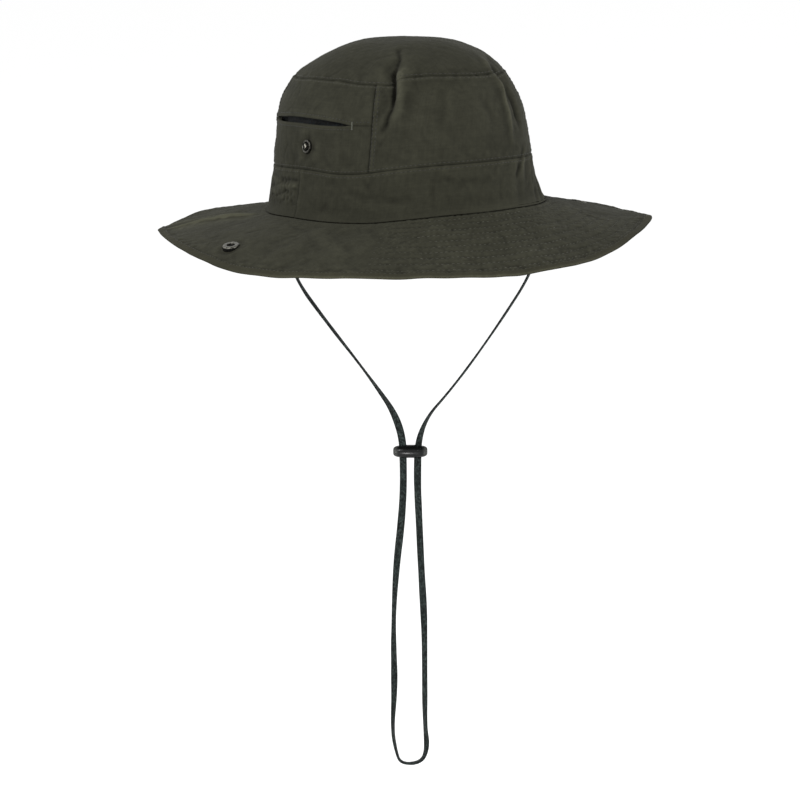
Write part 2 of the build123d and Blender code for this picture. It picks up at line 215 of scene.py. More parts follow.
def wrap(t):
    """-180..180 about the right ear."""
    return np.mod(np.asarray(t, float) + 180.0, 360.0) - 180.0


TIP_SEAM = ring([(-26, 85.6), (-9, 85.9), (15, 86.2), (27, 85.0), (38, 83.9), (44, 83.7), (50, 85.2), (61, 86.0), (77, 85.2), (102, 83.6),
                 (130, 84.6), (180, 86.0), (250, 85.6), (300, 85.6)])
BAND_SEAM = ring([(-13, 30.4), (5, 30.6), (23, 29.6), (47, 31.2), (86, 30.6), (117, 30.2), (180, 30.4), (270, 30.4)])
POCKET_T = curve([(28.0, 34.8), (40.0, 35.6), (58.0, 36.6), (72.0, 37.1), (84.0, 37.4)])   # angle of the pocket's front edge by height
BACK_T = curve([(28.0, 35.2), (84.0, 38.4)])
LIP_UP = curve([(-46, 60.3), (-36, 60.35), (-31, 61.3), (-20, 62.2), (-4, 62.8), (10, 62.5), (20, 61.4), (27.5, 59.9), (46, 59.3)])
LIP_LOW = curve([(-46, 60.3), (-36, 60.25), (-31, 59.7), (-20, 59.35), (-4, 59.2), (10, 59.2), (20, 59.4), (27.5, 59.8), (46, 59.3)])


def trough(u, m, pts, depth, width, rise=0.0, rise_w=4.0, side=1.0, taper=0.25):
    """A crease along a line: a groove, and a swelling on one side of it."""
    best = np.full(u.shape, 1e9)
    sign = np.zeros(u.shape)
    at = np.zeros(u.shape)
    p = np.array(pts, float)
    seg = np.linalg.norm(np.diff(p, axis=0), axis=1)
    start = np.concatenate([[0], np.cumsum(seg)])
    for i in range(len(p) - 1):
        d = (p[i + 1] - p[i]) / seg[i]
        ru, rm = u - p[i][0], m - p[i][1]
        k = np.clip(ru * d[0] + rm * d[1], 0, seg[i])
        du, dm = ru - k * d[0], rm - k * d[1]
        dist = np.hypot(du, dm)
        better = dist < best
        best = np.where(better, dist, best)
        sign = np.where(better, np.sign(d[0] * dm - d[1] * du), sign)
        at = np.where(better, (start[i] + k) / start[-1], at)
    end = smooth01(at / taper) * smooth01((1 - at) / taper)
    s = best * sign * side
    out = -depth * bell(s, width)
    if rise:
        out = out + rise * np.where(s > 0, bell(s - rise_w, rise_w), bell(s - rise_w, rise_w))
    return out * end


def seam_dent(s, deep=0.75, w=0.55, ply=0.30, out=2.4, pucker=0.0):
    """Cloth across a topstitched seam: a groove at 0, one ply more on the + side as far as the stitches, which pull it in."""
    d = -deep * bell(s, w)
    d = d + ply * smooth01((s - 0.2) / 0.6) * (1 - smooth01((s - out) / 0.9))
    d = d - (0.16 + pucker) * bell(s - out + 0.5, 0.5)
    return d


def um(t, z):
    """(around, up) in millimetres of a point given as angle and nominal height."""
    v = v_of(z)
    return float(around(np.array(float(t)), np.array(float(v)))), float(along_up(float(v)))


CREASES = [
    # points as (angle, height), depth, width, swelling, its width, side
    # the fold at the front: a sharp line, a hollow on its right, a swelling on its left
    ([(48.4, 93.5), (47.8, 88.3), (47.0, 82.8), (46.2, 78.4), (45.5, 73.9), (44.7, 68.0)], 2.7, 1.05, 0.0, 3.0, 1.0),
    ([(46.6, 80.5), (45.5, 73.9), (44.5, 67.2), (43.0, 61.0), (41.0, 53.0)], 1.35, 1.7, 0.0, 3.0, 1.0),
    ([(48.6, 103.0), (48.6, 97.0), (48.3, 91.0), (47.6, 86.0)], 0.85, 1.3, 0.0, 3.0, 1.0),
    ([(48.0, 94.0), (47.4, 88.3), (46.4, 82.0), (45.3, 76.0), (44.4, 70.0)], 1.7, 2.4, 0.0, 3.0, 1.0),
    ([(45.4, 99.0), (44.2, 88.0), (43.0, 80.0), (41.6, 70.0), (39.4, 58.0)], 1.6, 4.2, 0.0, 3.0, 1.0),
    ([(52.4, 94.0), (52.0, 86.0), (50.8, 77.0), (49.2, 66.0), (46.8, 55.0)], -1.3, 4.2, 0.0, 3.0, 1.0),
    # the ridge towards the left ear, and the hollow behind it
    ([(109.6, 96.0), (109.2, 88.0), (108.8, 74.0), (107.2, 58.0), (107.8, 46.0), (109.0, 34.0)], -1.9, 3.0, 0.0, 3.0, 1.0),
    ([(115.4, 94.0), (115.4, 80.0), (115.6, 66.0), (117.4, 53.0), (120.0, 42.0)], 2.4, 4.2, 0.0, 3.0, 1.0),
    ([(128.0, 96.0), (124.0, 86.0), (122.0, 76.0)], 0.7, 2.5, 0.5, 4.0, 1.0),
    ([(72.0, 80.0), (69.0, 66.0), (67.5, 52.0)], 0.35, 3.0, 0.3, 5.0, 1.0),
    ([(92.0, 78.0), (94.0, 62.0), (97.0, 48.0)], 0.35, 3.5, 0.3, 5.0, -1.0),
    ([(118.0, 40.0), (112.0, 26.0), (104.0, 14.0)], 0.7, 2.2, 0.5, 4.0, 1.0),
    ([(128.0, 34.0), (124.0, 20.0), (120.0, 8.0)], 0.9, 2.4, 0.8, 4.0, 1.0),
    ([(60.0, 24.0), (75.0, 19.0), (92.0, 20.0)], 0.35, 2.6, 0.25, 4.0, 1.0),
    ([(24.0, 20.0), (40.0, 13.0), (56.0, 12.0)], 0.35, 2.6, 0.25, 4.0, -1.0),
]
CREASES = [([um(*p) for p in pts], *rest) for pts, *rest in CREASES]


def crown_detail(t, v, P):
    """How far the cloth stands out from the plain crown, in millimetres."""
    tw = wrap(t)
    z = level(v)
    u, m = around(tw, v), along_up(v)
    d = side_left(v) * bell(wrap(t + 39), 30.0) + side_right(v) * bell(wrap(t - 141), 32.0) - 2.2 * smooth01((v - 2.35) / 0.45)
    # slow unevenness of sewn cloth
    d = d + 0.45 * waves(P, 11, 62.0) * smooth01(v / 0.25) + 0.16 * waves(P, 12, 21.0) * smooth01(v / 0.35)
    soft = smooth01(v / 0.3)
    calm = 1 - 0.6 * smooth01((v - 2.1) / 0.4)
    d = d - 0.26 * bell(waves(P * np.array([1.0, 1.0, 0.7]), 13, 24.0), 0.24) * soft * calm * smooth01(0.38 + 0.62 * waves(P, 66, 19.0))
    d = d - 0.12 * bell(waves(P * np.array([1.0, 1.0, 0.8]), 14, 11.0), 0.28) * soft * calm * smooth01(0.38 + 0.62 * waves(P, 67, 13.0)) + 0.06 * waves(P, 15, 4.6) * soft
    # upright folds low at the left front, and an uneven edge above them
    low = bell(wrap(t - 122), 15.0) * (1 - smooth01((z - 24) / 12))
    d = d + 0.75 * low * waves(np.stack([u, u * 0.6, m * 0.16], -1), 17, 9.0) * smooth01(z / 3)
    d = d + 0.11 * bell(wrap(t - 140), 24.0) * waves(P * np.array([1.0, 1.0, 1.5]), 16, 8.0) * soft
    # crumpled cloth of the band at the right ear
    crumple = smooth01((tw + 37) / 7) * (1 - smooth01((tw + 3.5) / 2.5)) * smooth01((z - 5) / 5) * (1 - smooth01((z - 23) / 4))
    flow = np.stack([u * 0.42, m * 1.35, u * 0.15], -1)
    d = d + crumple * (0.5 * waves(flow, 18, 10.0) - 0.72 * bell(waves(flow, 19, 12.0), 0.42) * smooth01(0.6 + 0.8 * waves(P, 64, 9.0)) + 0.22 * waves(P, 65, 4.2))
    # seams that run around
    up_band = m - along_up(v_of(BAND_SEAM(t)))
    up_tip = m - along_up(v_of(TIP_SEAM(t)))
    puck = 0.5 + 0.5 * waves(P, 21, 6.5)
    near = bell(up_band, 9.0)
    d = d + seam_dent(-up_band, 0.42, 0.50, 0.30, 2.6) + 0.10 * near * waves(P, 22, 5.2)
    d = d + seam_dent(-up_tip, 0.40, 0.50, 0.30, 2.4) + 0.12 * bell(up_tip, 7.0) * waves(P, 23, 5.8)
    # seams that run up: the pocket's edges, the left panel's edges, the band's own joins
    on_side = smooth01((z - BAND_SEAM(t)) / 0.6) * (1 - smooth01((z - TIP_SEAM(t)) / 0.6))
    per = np.radians(1.0) * np.hypot(HEAD_B * np.sin(np.radians(t)), HEAD_A * np.cos(np.radians(t))) * share_at(np.minimum(z, 87.3))
    for centre, edge, way in ((0.0, POCKET_T, 1.0), (0.0, BACK_T, -1.0), (180.0, BACK_T, 1.0), (180.0, BACK_T, -1.0)):
        s = (wrap(t - centre) * way - edge(z)) * per
        d = d + on_side * (seam_dent(s, 0.55, 0.45, 0.28, 3.4) - 0.14 * bell(s - 0.9, 0.35) + 0.09 * bell(s, 7.0) * waves(P, 24, 4.6))
    on_band = 1 - smooth01((z - BAND_SEAM(t) + 0.8) / 0.8)
    for at in (-1.0, 181.0):
        s = wrap(t - at) * per
        d = d + on_band * (-0.40 * bell(s, 0.5) + 0.25 * bell(s - 2.2, 1.6) * smooth01(z / 4))
    # the slit: the flap above hangs over, the edge below is pulled in
    lip = smooth01((tw + 38) / 6) * (1 - smooth01((tw - 25) / 5))
    above = z - LIP_UP(tw)
    below = LIP_LOW(tw) - z
    side = (np.abs(tw) < 40) * 1.0
    d = d + side * (0.75 * lip * bell(np.maximum(above, 0), 5.5) * (above > -0.8) + 0.30 * lip * bell(np.maximum(below, 0), 3.5) * (below > -0.8))
    d = d + side * np.where(above > -0.5, -0.35 * bell(above, 0.5), -0.35 * bell(below, 0.5))
    d = d - side * 0.15 * (bell(above - 2.2, 0.4) * (above > 0))
    # the snap pulls a dimple into the pocket
    for ct, sign in ((3.35, 1), (176.65, 1)):
        su, sm = wrap(t - ct) * per, m - along_up(v_of(44.9))
        r = np.hypot(su, sm)
        a = np.arctan2(sm, su)
        d = d - 0.9 * bell(r, 5.2) * smooth01((r - 3.0) / 4.0) + 0.45 * bell(r - 9.5, 3.6) * (1 + 0.5 * np.cos(3 * a + 0.7))
        d = d - 0.25 * bell(np.abs(np.sin(2 * a + 0.4)) * r / 3.0, 0.6) * bell(r - 8, 5.0)
    u, m = u + 0.8 * waves(P, 61, 17.0), m + 0.8 * waves(P, 62, 15.0)
    uneven = np.clip(0.92 + 0.5 * waves(P, 63, 13.0), 0.25, 1.35)
    for pts, depth, width, rise, rise_w, side_ in CREASES:
        k = uneven if width < 1.05 else 1.0
        d = d + k * trough(u, m, pts, depth, width, rise, rise_w, side_)
    return d


# --- meshes --------------------------------------------------------------------
def normals_of(P):
    du = np.gradient(P, axis=0)
    dv = np.gradient(P, axis=1)
    n = np.cross(du, dv)
    n /= np.maximum(np.linalg.norm(n, axis=-1, keepdims=True), 1e-12)
    return n


def soften(d, k):
    """The same field, averaged over about 2k steps each way."""
    for axis in (0, 1):
        for _ in range(2):
            pad = [(0, 0), (0, 0)]
            pad[axis] = (k + 1, k)
            c = np.cumsum(np.pad(d, pad, mode="edge"), axis=axis)
            n = d.shape[axis]
            d = (np.take(c, np.arange(2 * k + 1, 2 * k + 1 + n), axis=axis) - np.take(c, np.arange(0, n), axis=axis)) / (2 * k + 1)
    return d


def wear_and_painted_shade(d, step, strength=0.30, reach=4.0):
    """Painted highlight on crests and painted shade in folds, partly also wear: how far the cloth stands out from its
    surroundings.
    """
    return np.clip((d - soften(d, max(int(reach / step), 2))) * strength, -0.26, 0.28)


def build(name, verts, faces, uv=None, normals=None, smooth=True, wear_and_shade_at=None):
    """verts in millimetres, faces as an (n, 4) array or a list."""
    mesh = bpy.data.meshes.new(name)
    mesh.from_pydata((np.asarray(verts, float) * MM).tolist(), [], faces.tolist() if hasattr(faces, "tolist") else faces)
    if uv is not None:
        layer = mesh.uv_layers.new(name="UVMap")
        loops = np.zeros(len(mesh.loops), np.int32)
        mesh.loops.foreach_get("vertex_index", loops)
        layer.data.foreach_set("uv", (np.asarray(uv, float)[loops] * MM).astype(np.float32).ravel())
    if smooth:
        mesh.polygons.foreach_set("use_smooth", np.ones(len(mesh.polygons), bool))
    # per-vertex tone: painted highlight on crests and painted shade in folds, partly also wear
    if wear_and_shade_at is not None:
        layer = mesh.attributes.new("wear_and_painted_shade", "FLOAT", "POINT")
        layer.data.foreach_set("value", np.asarray(wear_and_shade_at, np.float32).ravel())
    mesh.update()
    if normals is not None:
        mesh.normals_split_custom_set_from_vertices(np.asarray(normals, float).tolist())
    o = bpy.data.objects.new(name, mesh)
    bpy.context.scene.collection.objects.link(o)
    return o


def grid_faces(n, m, offset=0, flip=False):
    i, j = np.meshgrid(np.arange(n - 1), np.arange(m - 1), indexing="ij")
    a = (i * m + j).ravel() + offset
    q = np.stack([a, a + m, a + m + 1, a + 1], -1)
    return q[:, ::-1] if flip else q


def sheet_mesh(name, P, N, uv, skirts=(1.2, 1.2, 1.2, 1.2), wear_and_shade_at=None):
    """One layer of cloth on a grid. Each edge is turned in by its skirt: first row, last row, first column, last column."""
    n, m = P.shape[:2]
    lo_a, hi_a, lo_b, hi_b = skirts
    rows, nrm, uvs = P, N, uv
    if wear_and_shade_at is not None:
        wear_and_shade_at = np.pad(wear_and_shade_at, [(1 if lo_a else 0, 1 if hi_a else 0), (1 if lo_b else 0, 1 if hi_b else 0)], mode="edge")
    if lo_a or hi_a:
        parts, pn, pu = [rows], [nrm], [uvs]
        if lo_a:
            parts.insert(0, (rows[0] - nrm[0] * lo_a)[None])
            pn.insert(0, nrm[:1])
            pu.insert(0, uvs[:1])
        if hi_a:
            parts.append((rows[-1] - nrm[-1] * hi_a)[None])
            pn.append(nrm[-1:])
            pu.append(uvs[-1:])
        rows, nrm, uvs = np.concatenate(parts), np.concatenate(pn), np.concatenate(pu)
    if lo_b or hi_b:
        parts, pn, pu = [rows], [nrm], [uvs]
        if lo_b:
            parts.insert(0, (rows[:, 0] - nrm[:, 0] * lo_b)[:, None])
            pn.insert(0, nrm[:, :1])
            pu.insert(0, uvs[:, :1])
        if hi_b:
            parts.append((rows[:, -1] - nrm[:, -1] * hi_b)[:, None])
            pn.append(nrm[:, -1:])
            pu.append(uvs[:, -1:])
        rows, nrm, uvs = np.concatenate(parts, 1), np.concatenate(pn, 1), np.concatenate(pu, 1)
    n, m = rows.shape[:2]
    i, j = n // 2, m // 2
    across = np.cross(rows[i + 1, j] - rows[i, j], rows[i, j + 1] - rows[i, j])
    return build(name, rows.reshape(-1, 3), grid_faces(n, m, flip=bool(across @ nrm[i, j] < 0)), uvs.reshape(-1, 2), nrm.reshape(-1, 3), wear_and_shade_at=wear_and_shade_at)


GAP = 0.12                                                # half the open line between two panels


def crown_panel(name, t0, t1, v0, v1, step=0.9, skirts=(1.2, 1.2, 1.2, 1.2), extra=None, detail=True, inset=0.0):
    """t0, t1: functions of height; v0, v1: functions of angle."""
    tm = (float(t0(50.0)) + float(t1(50.0))) / 2
    span_u = abs(float(t1(50.0)) - float(t0(50.0))) * 1.63 * 0.95
    span_v = abs(float(along_up(float(v1(tm)))) - float(along_up(float(v0(tm)))))
    n, m = max(int(span_u / step), 8), max(int(span_v / step), 6)
    ga, gb = GAP / span_u, GAP / span_v
    a = np.linspace(ga - 1.0 / n, 1 - ga + 1.0 / n, n + 3)[:, None] * np.ones((1, m + 3))
    b = np.ones((n + 3, 1)) * np.linspace(gb - 1.0 / m, 1 - gb + 1.0 / m, m + 3)[None]
    zg = 30 + 55 * b
    for _ in range(3):
        t = t0(zg) + (t1(zg) - t0(zg)) * a
        v = v0(t) + (v1(t) - v0(t)) * b
        zg = level(np.clip(v, 0, 2.99))
    v = np.clip(v, 0.0, 2.995)
    P = crown_base(t, v)
    N = normals_of(P)
    if (N[n // 2, m // 2] @ P[n // 2, m // 2]) < 0:
        N = -N
    d = crown_detail(t, v, P) if detail else np.zeros(t.shape)
    if extra is not None:
        d = d + extra(t, v, P)
    P2 = P + N * (d - inset)[..., None]
    N2 = normals_of(P2)
    if (N2[n // 2, m // 2] @ P2[n // 2, m // 2]) < 0:
        N2 = -N2
    uv = np.stack([around(wrap(t - tm) + tm, v), along_up(v)], -1)
    c = slice(1, -1)
    zt, tt = level(v), wrap(t)
    # painted light and shade in patches: lighter low on the band from the front round to the left ear and on the side
    # panel towards the left ear, darker beside the front fold and over the pocket
    painted_light_patches = 0.045 * (1 - smooth01((zt - 29.0) / 3.0)) * smooth01((tt - 40) / 25)
    painted_light_patches = painted_light_patches - 0.045 * smooth01((tt - 34) / 4) * (1 - smooth01((tt - 50) / 9)) * smooth01((zt - 32) / 3) * (1 - smooth01((zt - 82) / 5))
    painted_light_patches = painted_light_patches - 0.026 * (1 - smooth01((tt - 34) / 4)) * smooth01((tt + 60) / 20) * smooth01((zt - 32) / 2) * (1 - smooth01((zt - 60) / 2))
    painted_light_patches = painted_light_patches + 0.045 * smooth01((tt - 114) / 14) * (1 - smooth01((tt - 152) / 16)) * smooth01((zt - 34) / 6) * (1 - smooth01((zt - 80) / 8))
    return sheet_mesh(name, P2[c, c], N2[c, c], uv[c, c], skirts, (wear_and_painted_shade(d, step) + painted_light_patches)[c, c])


def strip(name, P, N, width, down):
    """A narrow dark strip lying that far below a line on the cloth: painted shade seen through a seam's gap."""
    T = np.gradient(P, axis=0)
    B = np.cross(T, N)
    B /= np.linalg.norm(B, axis=-1, keepdims=True)
    rows = np.stack([P - N * down + B * (width * k) for k in (-0.5, 0.0, 0.5)], 1)
    L = np.concatenate([[0], np.cumsum(np.linalg.norm(np.diff(P, axis=0), axis=1))])
    uv = np.stack([np.repeat(L[:, None], 3, 1), np.repeat(np.array([[-0.5, 0, 0.5]]) * width, len(L), 0)], -1)
    return sheet_mesh(name, rows, np.repeat(N[:, None], 3, 1), uv, (0, 0, 0, 0))


def crown_point(t, z, lift=0.0):
    """Points on the finished crown surface with their normals, for stitches: t, z arrays."""
    t, z = np.asarray(t, float), np.asarray(z, float)
    v = v_of(z)
    h = 0.12
    ts = np.stack([t, t + h, t, t - h, t])
    vs = np.stack([v, v, v + 0.002, v, v - 0.002])
    P = crown_base(ts, vs)
    n = np.cross(P[1] - P[3], P[2] - P[4])
    n /= np.linalg.norm(n, axis=-1, keepdims=True)
    n *= np.sign((n * P[0]).sum(-1, keepdims=True))
    d = crown_detail(t, v, P[0])
    return P[0] + n * (d + lift)[..., None], n


SOCKET = {"right": np.array([-136.29, -5.0, -11.72]), "left": np.array([136.29, -5.0, -11.72])}


def brim_base(t, s):
    tr = np.radians(t)
    c, sn = np.cos(tr), np.sin(tr)
    ib, ia = 84.2, 101.2
    eb, ea = EDGE_B + edge_out(t), EDGE_A + edge_out(t)
    x = -(ib + (eb - ib) * s) * c
    y = -(ia + (ea - ia) * s) * sn
    low = brim_height(-eb * c, -ea * sn)
    q = np.clip(s, 0, 1)
    z = brim_height(x, y) + seam_rise(t) * (1 - q) ** 1.3 + (edge_z(t) + edge_fix(t) + edge_trim(t) - low) * np.clip(s, 0, 1.1) ** 4 + sag(t) * 4 * q * (1 - q)
    return np.stack([x, y, z], -1)


ROWS = [0.075 + 0.0915 * i for i in range(10)]        # stitch rows of the stiffened front
ROW_LO, ROW_HI = 42.0, 132.0
HEM = 4.6                                            # hem stitches, from the edge

BRIM_CREASES = [
    # points on the plan (x, y), depth, width, swelling, its width, side
    ([(-76, 55), (-82, 64), (-90, 80), (-99, 96), (-110, 109), (-119, 115), (-126, 120)], -1.7, 5.5, 0.0, 3.0, 1.0),
    ([(-75, 50), (-83, 59), (-89, 68), (-94, 77), (-101, 86), (-109, 93), (-118, 96), (-130, 93)], -1.25, 2.1, 0.0, 3.0, 1.0),
    ([(-70, 70), (-78, 90), (-86, 108), (-92, 124)], 0.9, 4.0, 0.3, 5.0, 1.0),
    ([(-96, -28), (-106, -52), (-116, -78)], 0.22, 2.6, 0.2, 5.0, 1.0),
    ([(-90, -48), (-98, -72), (-104, -98)], 0.20, 2.6, 0.18, 5.0, -1.0),
    ([(-76, -66), (-80, -92), (-82, -118)], 0.18, 3.0, 0.16, 5.0, 1.0),
    ([(-52, -88), (-50, -108), (-46, -134)], 0.16, 3.0, 0.14, 5.0, 1.0),
    ([(60, -82), (70, -100), (78, -120)], 0.18, 2.6, 0.16, 4.0, 1.0),
    ([(68, -76), (82, -94), (94, -110)], 0.14, 2.6, 0.13, 4.0, -1.0),
    ([(76, -66), (94, -80), (112, -92)], 0.12, 2.8, 0.1, 4.0, 1.0),
    ([(60, 90), (74, 112), (84, 128)], 0.5, 2.6, 0.5, 5.0, 1.0),
    ([(-40, 100), (-44, 122), (-50, 146)], 0.5, 2.6, 0.5, 5.0, -1.0),
    ([(10, 106), (14, 128), (12, 154)], 0.4, 3.0, 0.4, 5.0, 1.0),
]


def brim_detail(t, s, P, under=False):
    tw = wrap(t)
    x, y = P[..., 0], P[..., 1]
    per = np.hypot(HEAD_B * np.cos(np.radians(t)), HEAD_A * np.sin(np.radians(t)))
    reach = np.hypot((EDGE_B - 84.2) * np.cos(np.radians(t)), (EDGE_A - 101.2) * np.sin(np.radians(t)))
    e = (1 - s) * reach                                    # from the edge
    i = s * reach                                          # from the crown
    # gentle waves of a soft edge, and slow unevenness
    d = 0.75 * waves(P * np.array([1, 1, 0.2]), 31, 88.0) * s ** 2 + 0.30 * waves(P, 32, 30.0) * smooth01(i / 18)
    calm = smooth01(e / 7.0)
    d = d + 0.10 * waves(P, 33, 12.0) * smooth01(i / 10) * calm
    d = d - 0.28 * bell(waves(P, 34, 28.0), 0.20) * smooth01(i / 12) * smooth01(e / 8) * smooth01(0.34 + 0.62 * waves(P, 68, 21.0))
    d = d - calm * (0.14 * bell(waves(P, 37, 12.0), 0.24) * smooth01(i / 6) * smooth01(0.34 + 0.62 * waves(P, 69, 14.0)) - 0.06 * waves(P, 38, 4.8))
    front = smooth01((tw - ROW_LO) / 5) * (1 - smooth01((tw - ROW_HI) / 5))
    if not under:
        for r in ROWS:
            d = d - 0.30 * front * bell((s - r) * reach, 0.75)
        d = d + 0.10 * front * waves(P, 35, 3.4) * (s < 0.93)
    else:
        for r in ROWS:
            d = d - 0.24 * front * bell((s - r) * reach, 0.75)
    # hem: a thicker border, pulled in at its stitches
    d = d + 0.35 * (1 - smooth01((e - HEM + 0.6) / 1.0)) - 0.42 * bell(e - HEM, 0.55) + 0.20 * bell(e - HEM, 5.0) * waves(P, 36, 5.5) * calm
    d = d - 0.55 * bell(i, 1.0)
    for side in ("right", "left"):
        c = SOCKET[side]
        r = np.hypot(x - c[0], y - c[1])
        d = d - 0.30 * bell(r - 7.0, 1.4) + 0.25 * bell(r - 11.0, 3.5)
    for pts, depth, width, rise, rise_w, side_ in BRIM_CREASES:
        k = 1.0 if not under else -0.8
        d = d + k * trough(x, y, pts, depth, width, rise, rise_w, side_)
    return d


PLY = 1.05                                                # half the brim's thickness


def reach_of(t):
    """Width of the brim at that angle."""
    return np.hypot((EDGE_B - 84.2) * np.cos(np.radians(t)), (EDGE_A - 101.2) * np.sin(np.radians(t)))


def slow_lift(t, s, P):
    """The part of the brim's unevenness that both of its faces share."""
    return 0.75 * waves(P * np.array([1, 1, 0.2]), 31, 88.0) * s ** 2 + 0.30 * waves(P, 32, 30.0) * smooth01(s * reach_of(t) / 18)


def brim_offsets(t, s, P):
    """Offsets of the upper and the lower face from the plain surface, before the edge is rounded."""
    q = np.clip(s, 0, 1)
    over = brim_detail(t, q, P)
    slow = slow_lift(t, q, P)
    under = slow - 2 * PLY + np.clip(-(brim_detail(t, q, P, True) - slow) * 0.9, -0.6, 0.9)
    return over, np.minimum(under, over - 1.3)


def brim_ply(name, t0, t1, kind="top", hem=False, nt=430, ns=82):
    a = np.linspace(t0 - (t1 - t0) / nt, t1 + (t1 - t0) / nt, nt + 3)[:, None] * np.ones((1, ns + 3))
    b = np.ones((nt + 3, 1)) * np.linspace(-1.0 / ns, 1 + 1.0 / ns, ns + 3)[None]
    join = 1 - HEM / reach_of(a)
    if kind == "middle":
        q = b * (1 - 2.5 / reach_of(a))
    elif hem:
        q = join + (1 - join) * b
    else:
        q = join * b
    P = brim_base(a, q)
    N = normals_of(P)
    N = N * np.sign(N[..., 2:3])
    e = np.clip((1 - q) * reach_of(a), 0, 3.0)
    roll = PLY * (1 - np.sqrt(np.clip(1 - (1 - np.minimum(e / 1.25, 1)) ** 2, 0, 1)))
    over, under = brim_offsets(a, q, P)
    thin = 0.62 * (1 - smooth01((1 - q) * reach_of(a) / 4.4)) * (1 - roll / PLY)      # the hem is pressed thin towards its edge
    d = {"top": over - roll - thin, "under": under + roll + thin, "middle": 0.5 * (over + under)}[kind]
    P2 = P + N * d[..., None]
    N2 = normals_of(P2)
    N2 = N2 * np.sign(N2[..., 2:3]) * (-1 if kind == "under" else 1)
    c = slice(1, -1)
    P2, N2 = P2[c, c], N2[c, c]
    outer = 0.5 if kind != "middle" and hem else 0
    # both brim faces get painted highlight on crests and painted shade in folds, partly also wear
    painted_light_and_wear = wear_and_painted_shade(over if kind != "under" else -under, 0.85, 0.34)[c, c] if not hem else np.zeros(P2.shape[:2])
    if hem:
        # the hem: a painted highlight along its rolled outer edge towards the front
        ang, out = a[c, c], ((1 - q) * reach_of(a))[c, c]
        painted_light_and_wear = 0.20 * (1 - smooth01((out - 0.3) / 1.7)) * smooth01((wrap(ang) - 6) / 20) * (1 - smooth01((wrap(ang) - 96) / 22))
    if kind == "top" and not hem:
        # a painted highlight along the crest of the brim behind the right ear, and a broad one just in front of it
        crest = BRIM_CREASES[1][0]
        front_of = [(p - 2.0, r - 5.5) for p, r in crest]
        painted_light_and_wear = painted_light_and_wear + (0.07 * trough(P2[..., 0], P2[..., 1], crest, -1.0, 4.4, taper=0.2) + 0.20 * trough(P2[..., 0], P2[..., 1], front_of, -1.0, 10.5, taper=0.2)) * (1 + 0.30 * waves(P2, 70, 9.0))
        # painted shade on the brim around the left ear
        at = wrap(a[c, c])
        painted_light_and_wear = painted_light_and_wear - 0.080 * smooth01((at - 124) / 22) * (1 - smooth01((at - 214) / 20))
    return sheet_mesh(name, P2, N2, P2[..., :2], (0, 0, 0 if hem or kind == "middle" else 1.6, outer if hem else 0), painted_light_and_wear)


def brim_point(t, s, lift=0.0, under=False):
    t, s = np.asarray(t, float), np.asarray(s, float)
    h, k = 0.15, 0.004
    ts = np.stack([t, t + h, t, t - h, t])
    ss = np.stack([s, s, s + k, s, s - k])
    P = brim_base(ts, ss)
    n = np.cross(P[1] - P[3], P[2] - P[4])
    n /= np.linalg.norm(n, axis=-1, keepdims=True)
    n *= np.sign(n[..., 2:3])
    over, below = brim_offsets(t, s, P[0])
    if not under:
        return P[0] + n * (over + lift)[..., None], n
    return P[0] + n * (below - lift)[..., None], -n


# --- thread -----------------------------------------------------------------------
def stitches(paths, pitch=2.9, length=2.1, r=0.24, sink=0.12, jitter=0.12, seed=3):
    """paths: list of (points, normals) along which stitches lie. Returns verts and faces of all of them."""
    rng = np.random.default_rng(seed)
    V, F, base = [], [], 0
    K, S = 6, 7
    prof = np.linspace(-1, 1, S)
    wid = np.sqrt(np.clip(1 - np.abs(prof) ** 3.0, 0.03, 1))
    for P, N in paths:
        P, N = np.asarray(P), np.asarray(N)
        seg = np.linalg.norm(np.diff(P, axis=0), axis=1)
        L = np.concatenate([[0], np.cumsum(seg)])
        count = int(L[-1] // pitch)
        if count < 1:
            continue
        c = (np.arange(count) + 0.5) * L[-1] / count + rng.normal(size=count) * jitter * 0.5
        at = c[:, None] + prof[None] * length / 2
        at = np.clip(at, 0, L[-1])
        Q = np.stack([np.interp(at, L, P[:, k]) for k in range(3)], -1)
        M = np.stack([np.interp(at, L, N[:, k]) for k in range(3)], -1)
        M /= np.linalg.norm(M, axis=-1, keepdims=True)
        T = np.gradient(Q, axis=1)
        T /= np.maximum(np.linalg.norm(T, axis=-1, keepdims=True), 1e-9)
        B = np.cross(T, M)
        B /= np.maximum(np.linalg.norm(B, axis=-1, keepdims=True), 1e-9)
        height = r * 0.55 - sink - 0.30 * np.abs(prof) ** 4
        slant = rng.normal(size=count) * 0.05
        Q = Q + M * height[None, :, None] + B * (prof[None, :, None] * slant[:, None, None])
        ang = np.arange(K) / K * 2 * math.pi
        ringv = Q[:, :, None, :] + (B[:, :, None, :] * np.cos(ang)[None, None, :, None] + M[:, :, None, :] * np.sin(ang)[None, None, :, None]) * (r * wid)[None, :, None, None]
        V.append(ringv.reshape(-1, 3))
        i = np.arange(count)[:, None, None] * S * K
        j = np.arange(S - 1)[None, :, None] * K
        k = np.arange(K)[None, None, :]
        k2 = (k + 1) % K
        q = np.stack(np.broadcast_arrays(i + j + k, i + j + k2, i + j + K + k2, i + j + K + k), -1).reshape(-1, 4) + base
        F.append(q)
        base += count * S * K
    return np.concatenate(V), np.concatenate(F)


def thread(name, paths, **kw):
    V, F = stitches(paths, **kw)
    return build(name, V, F)


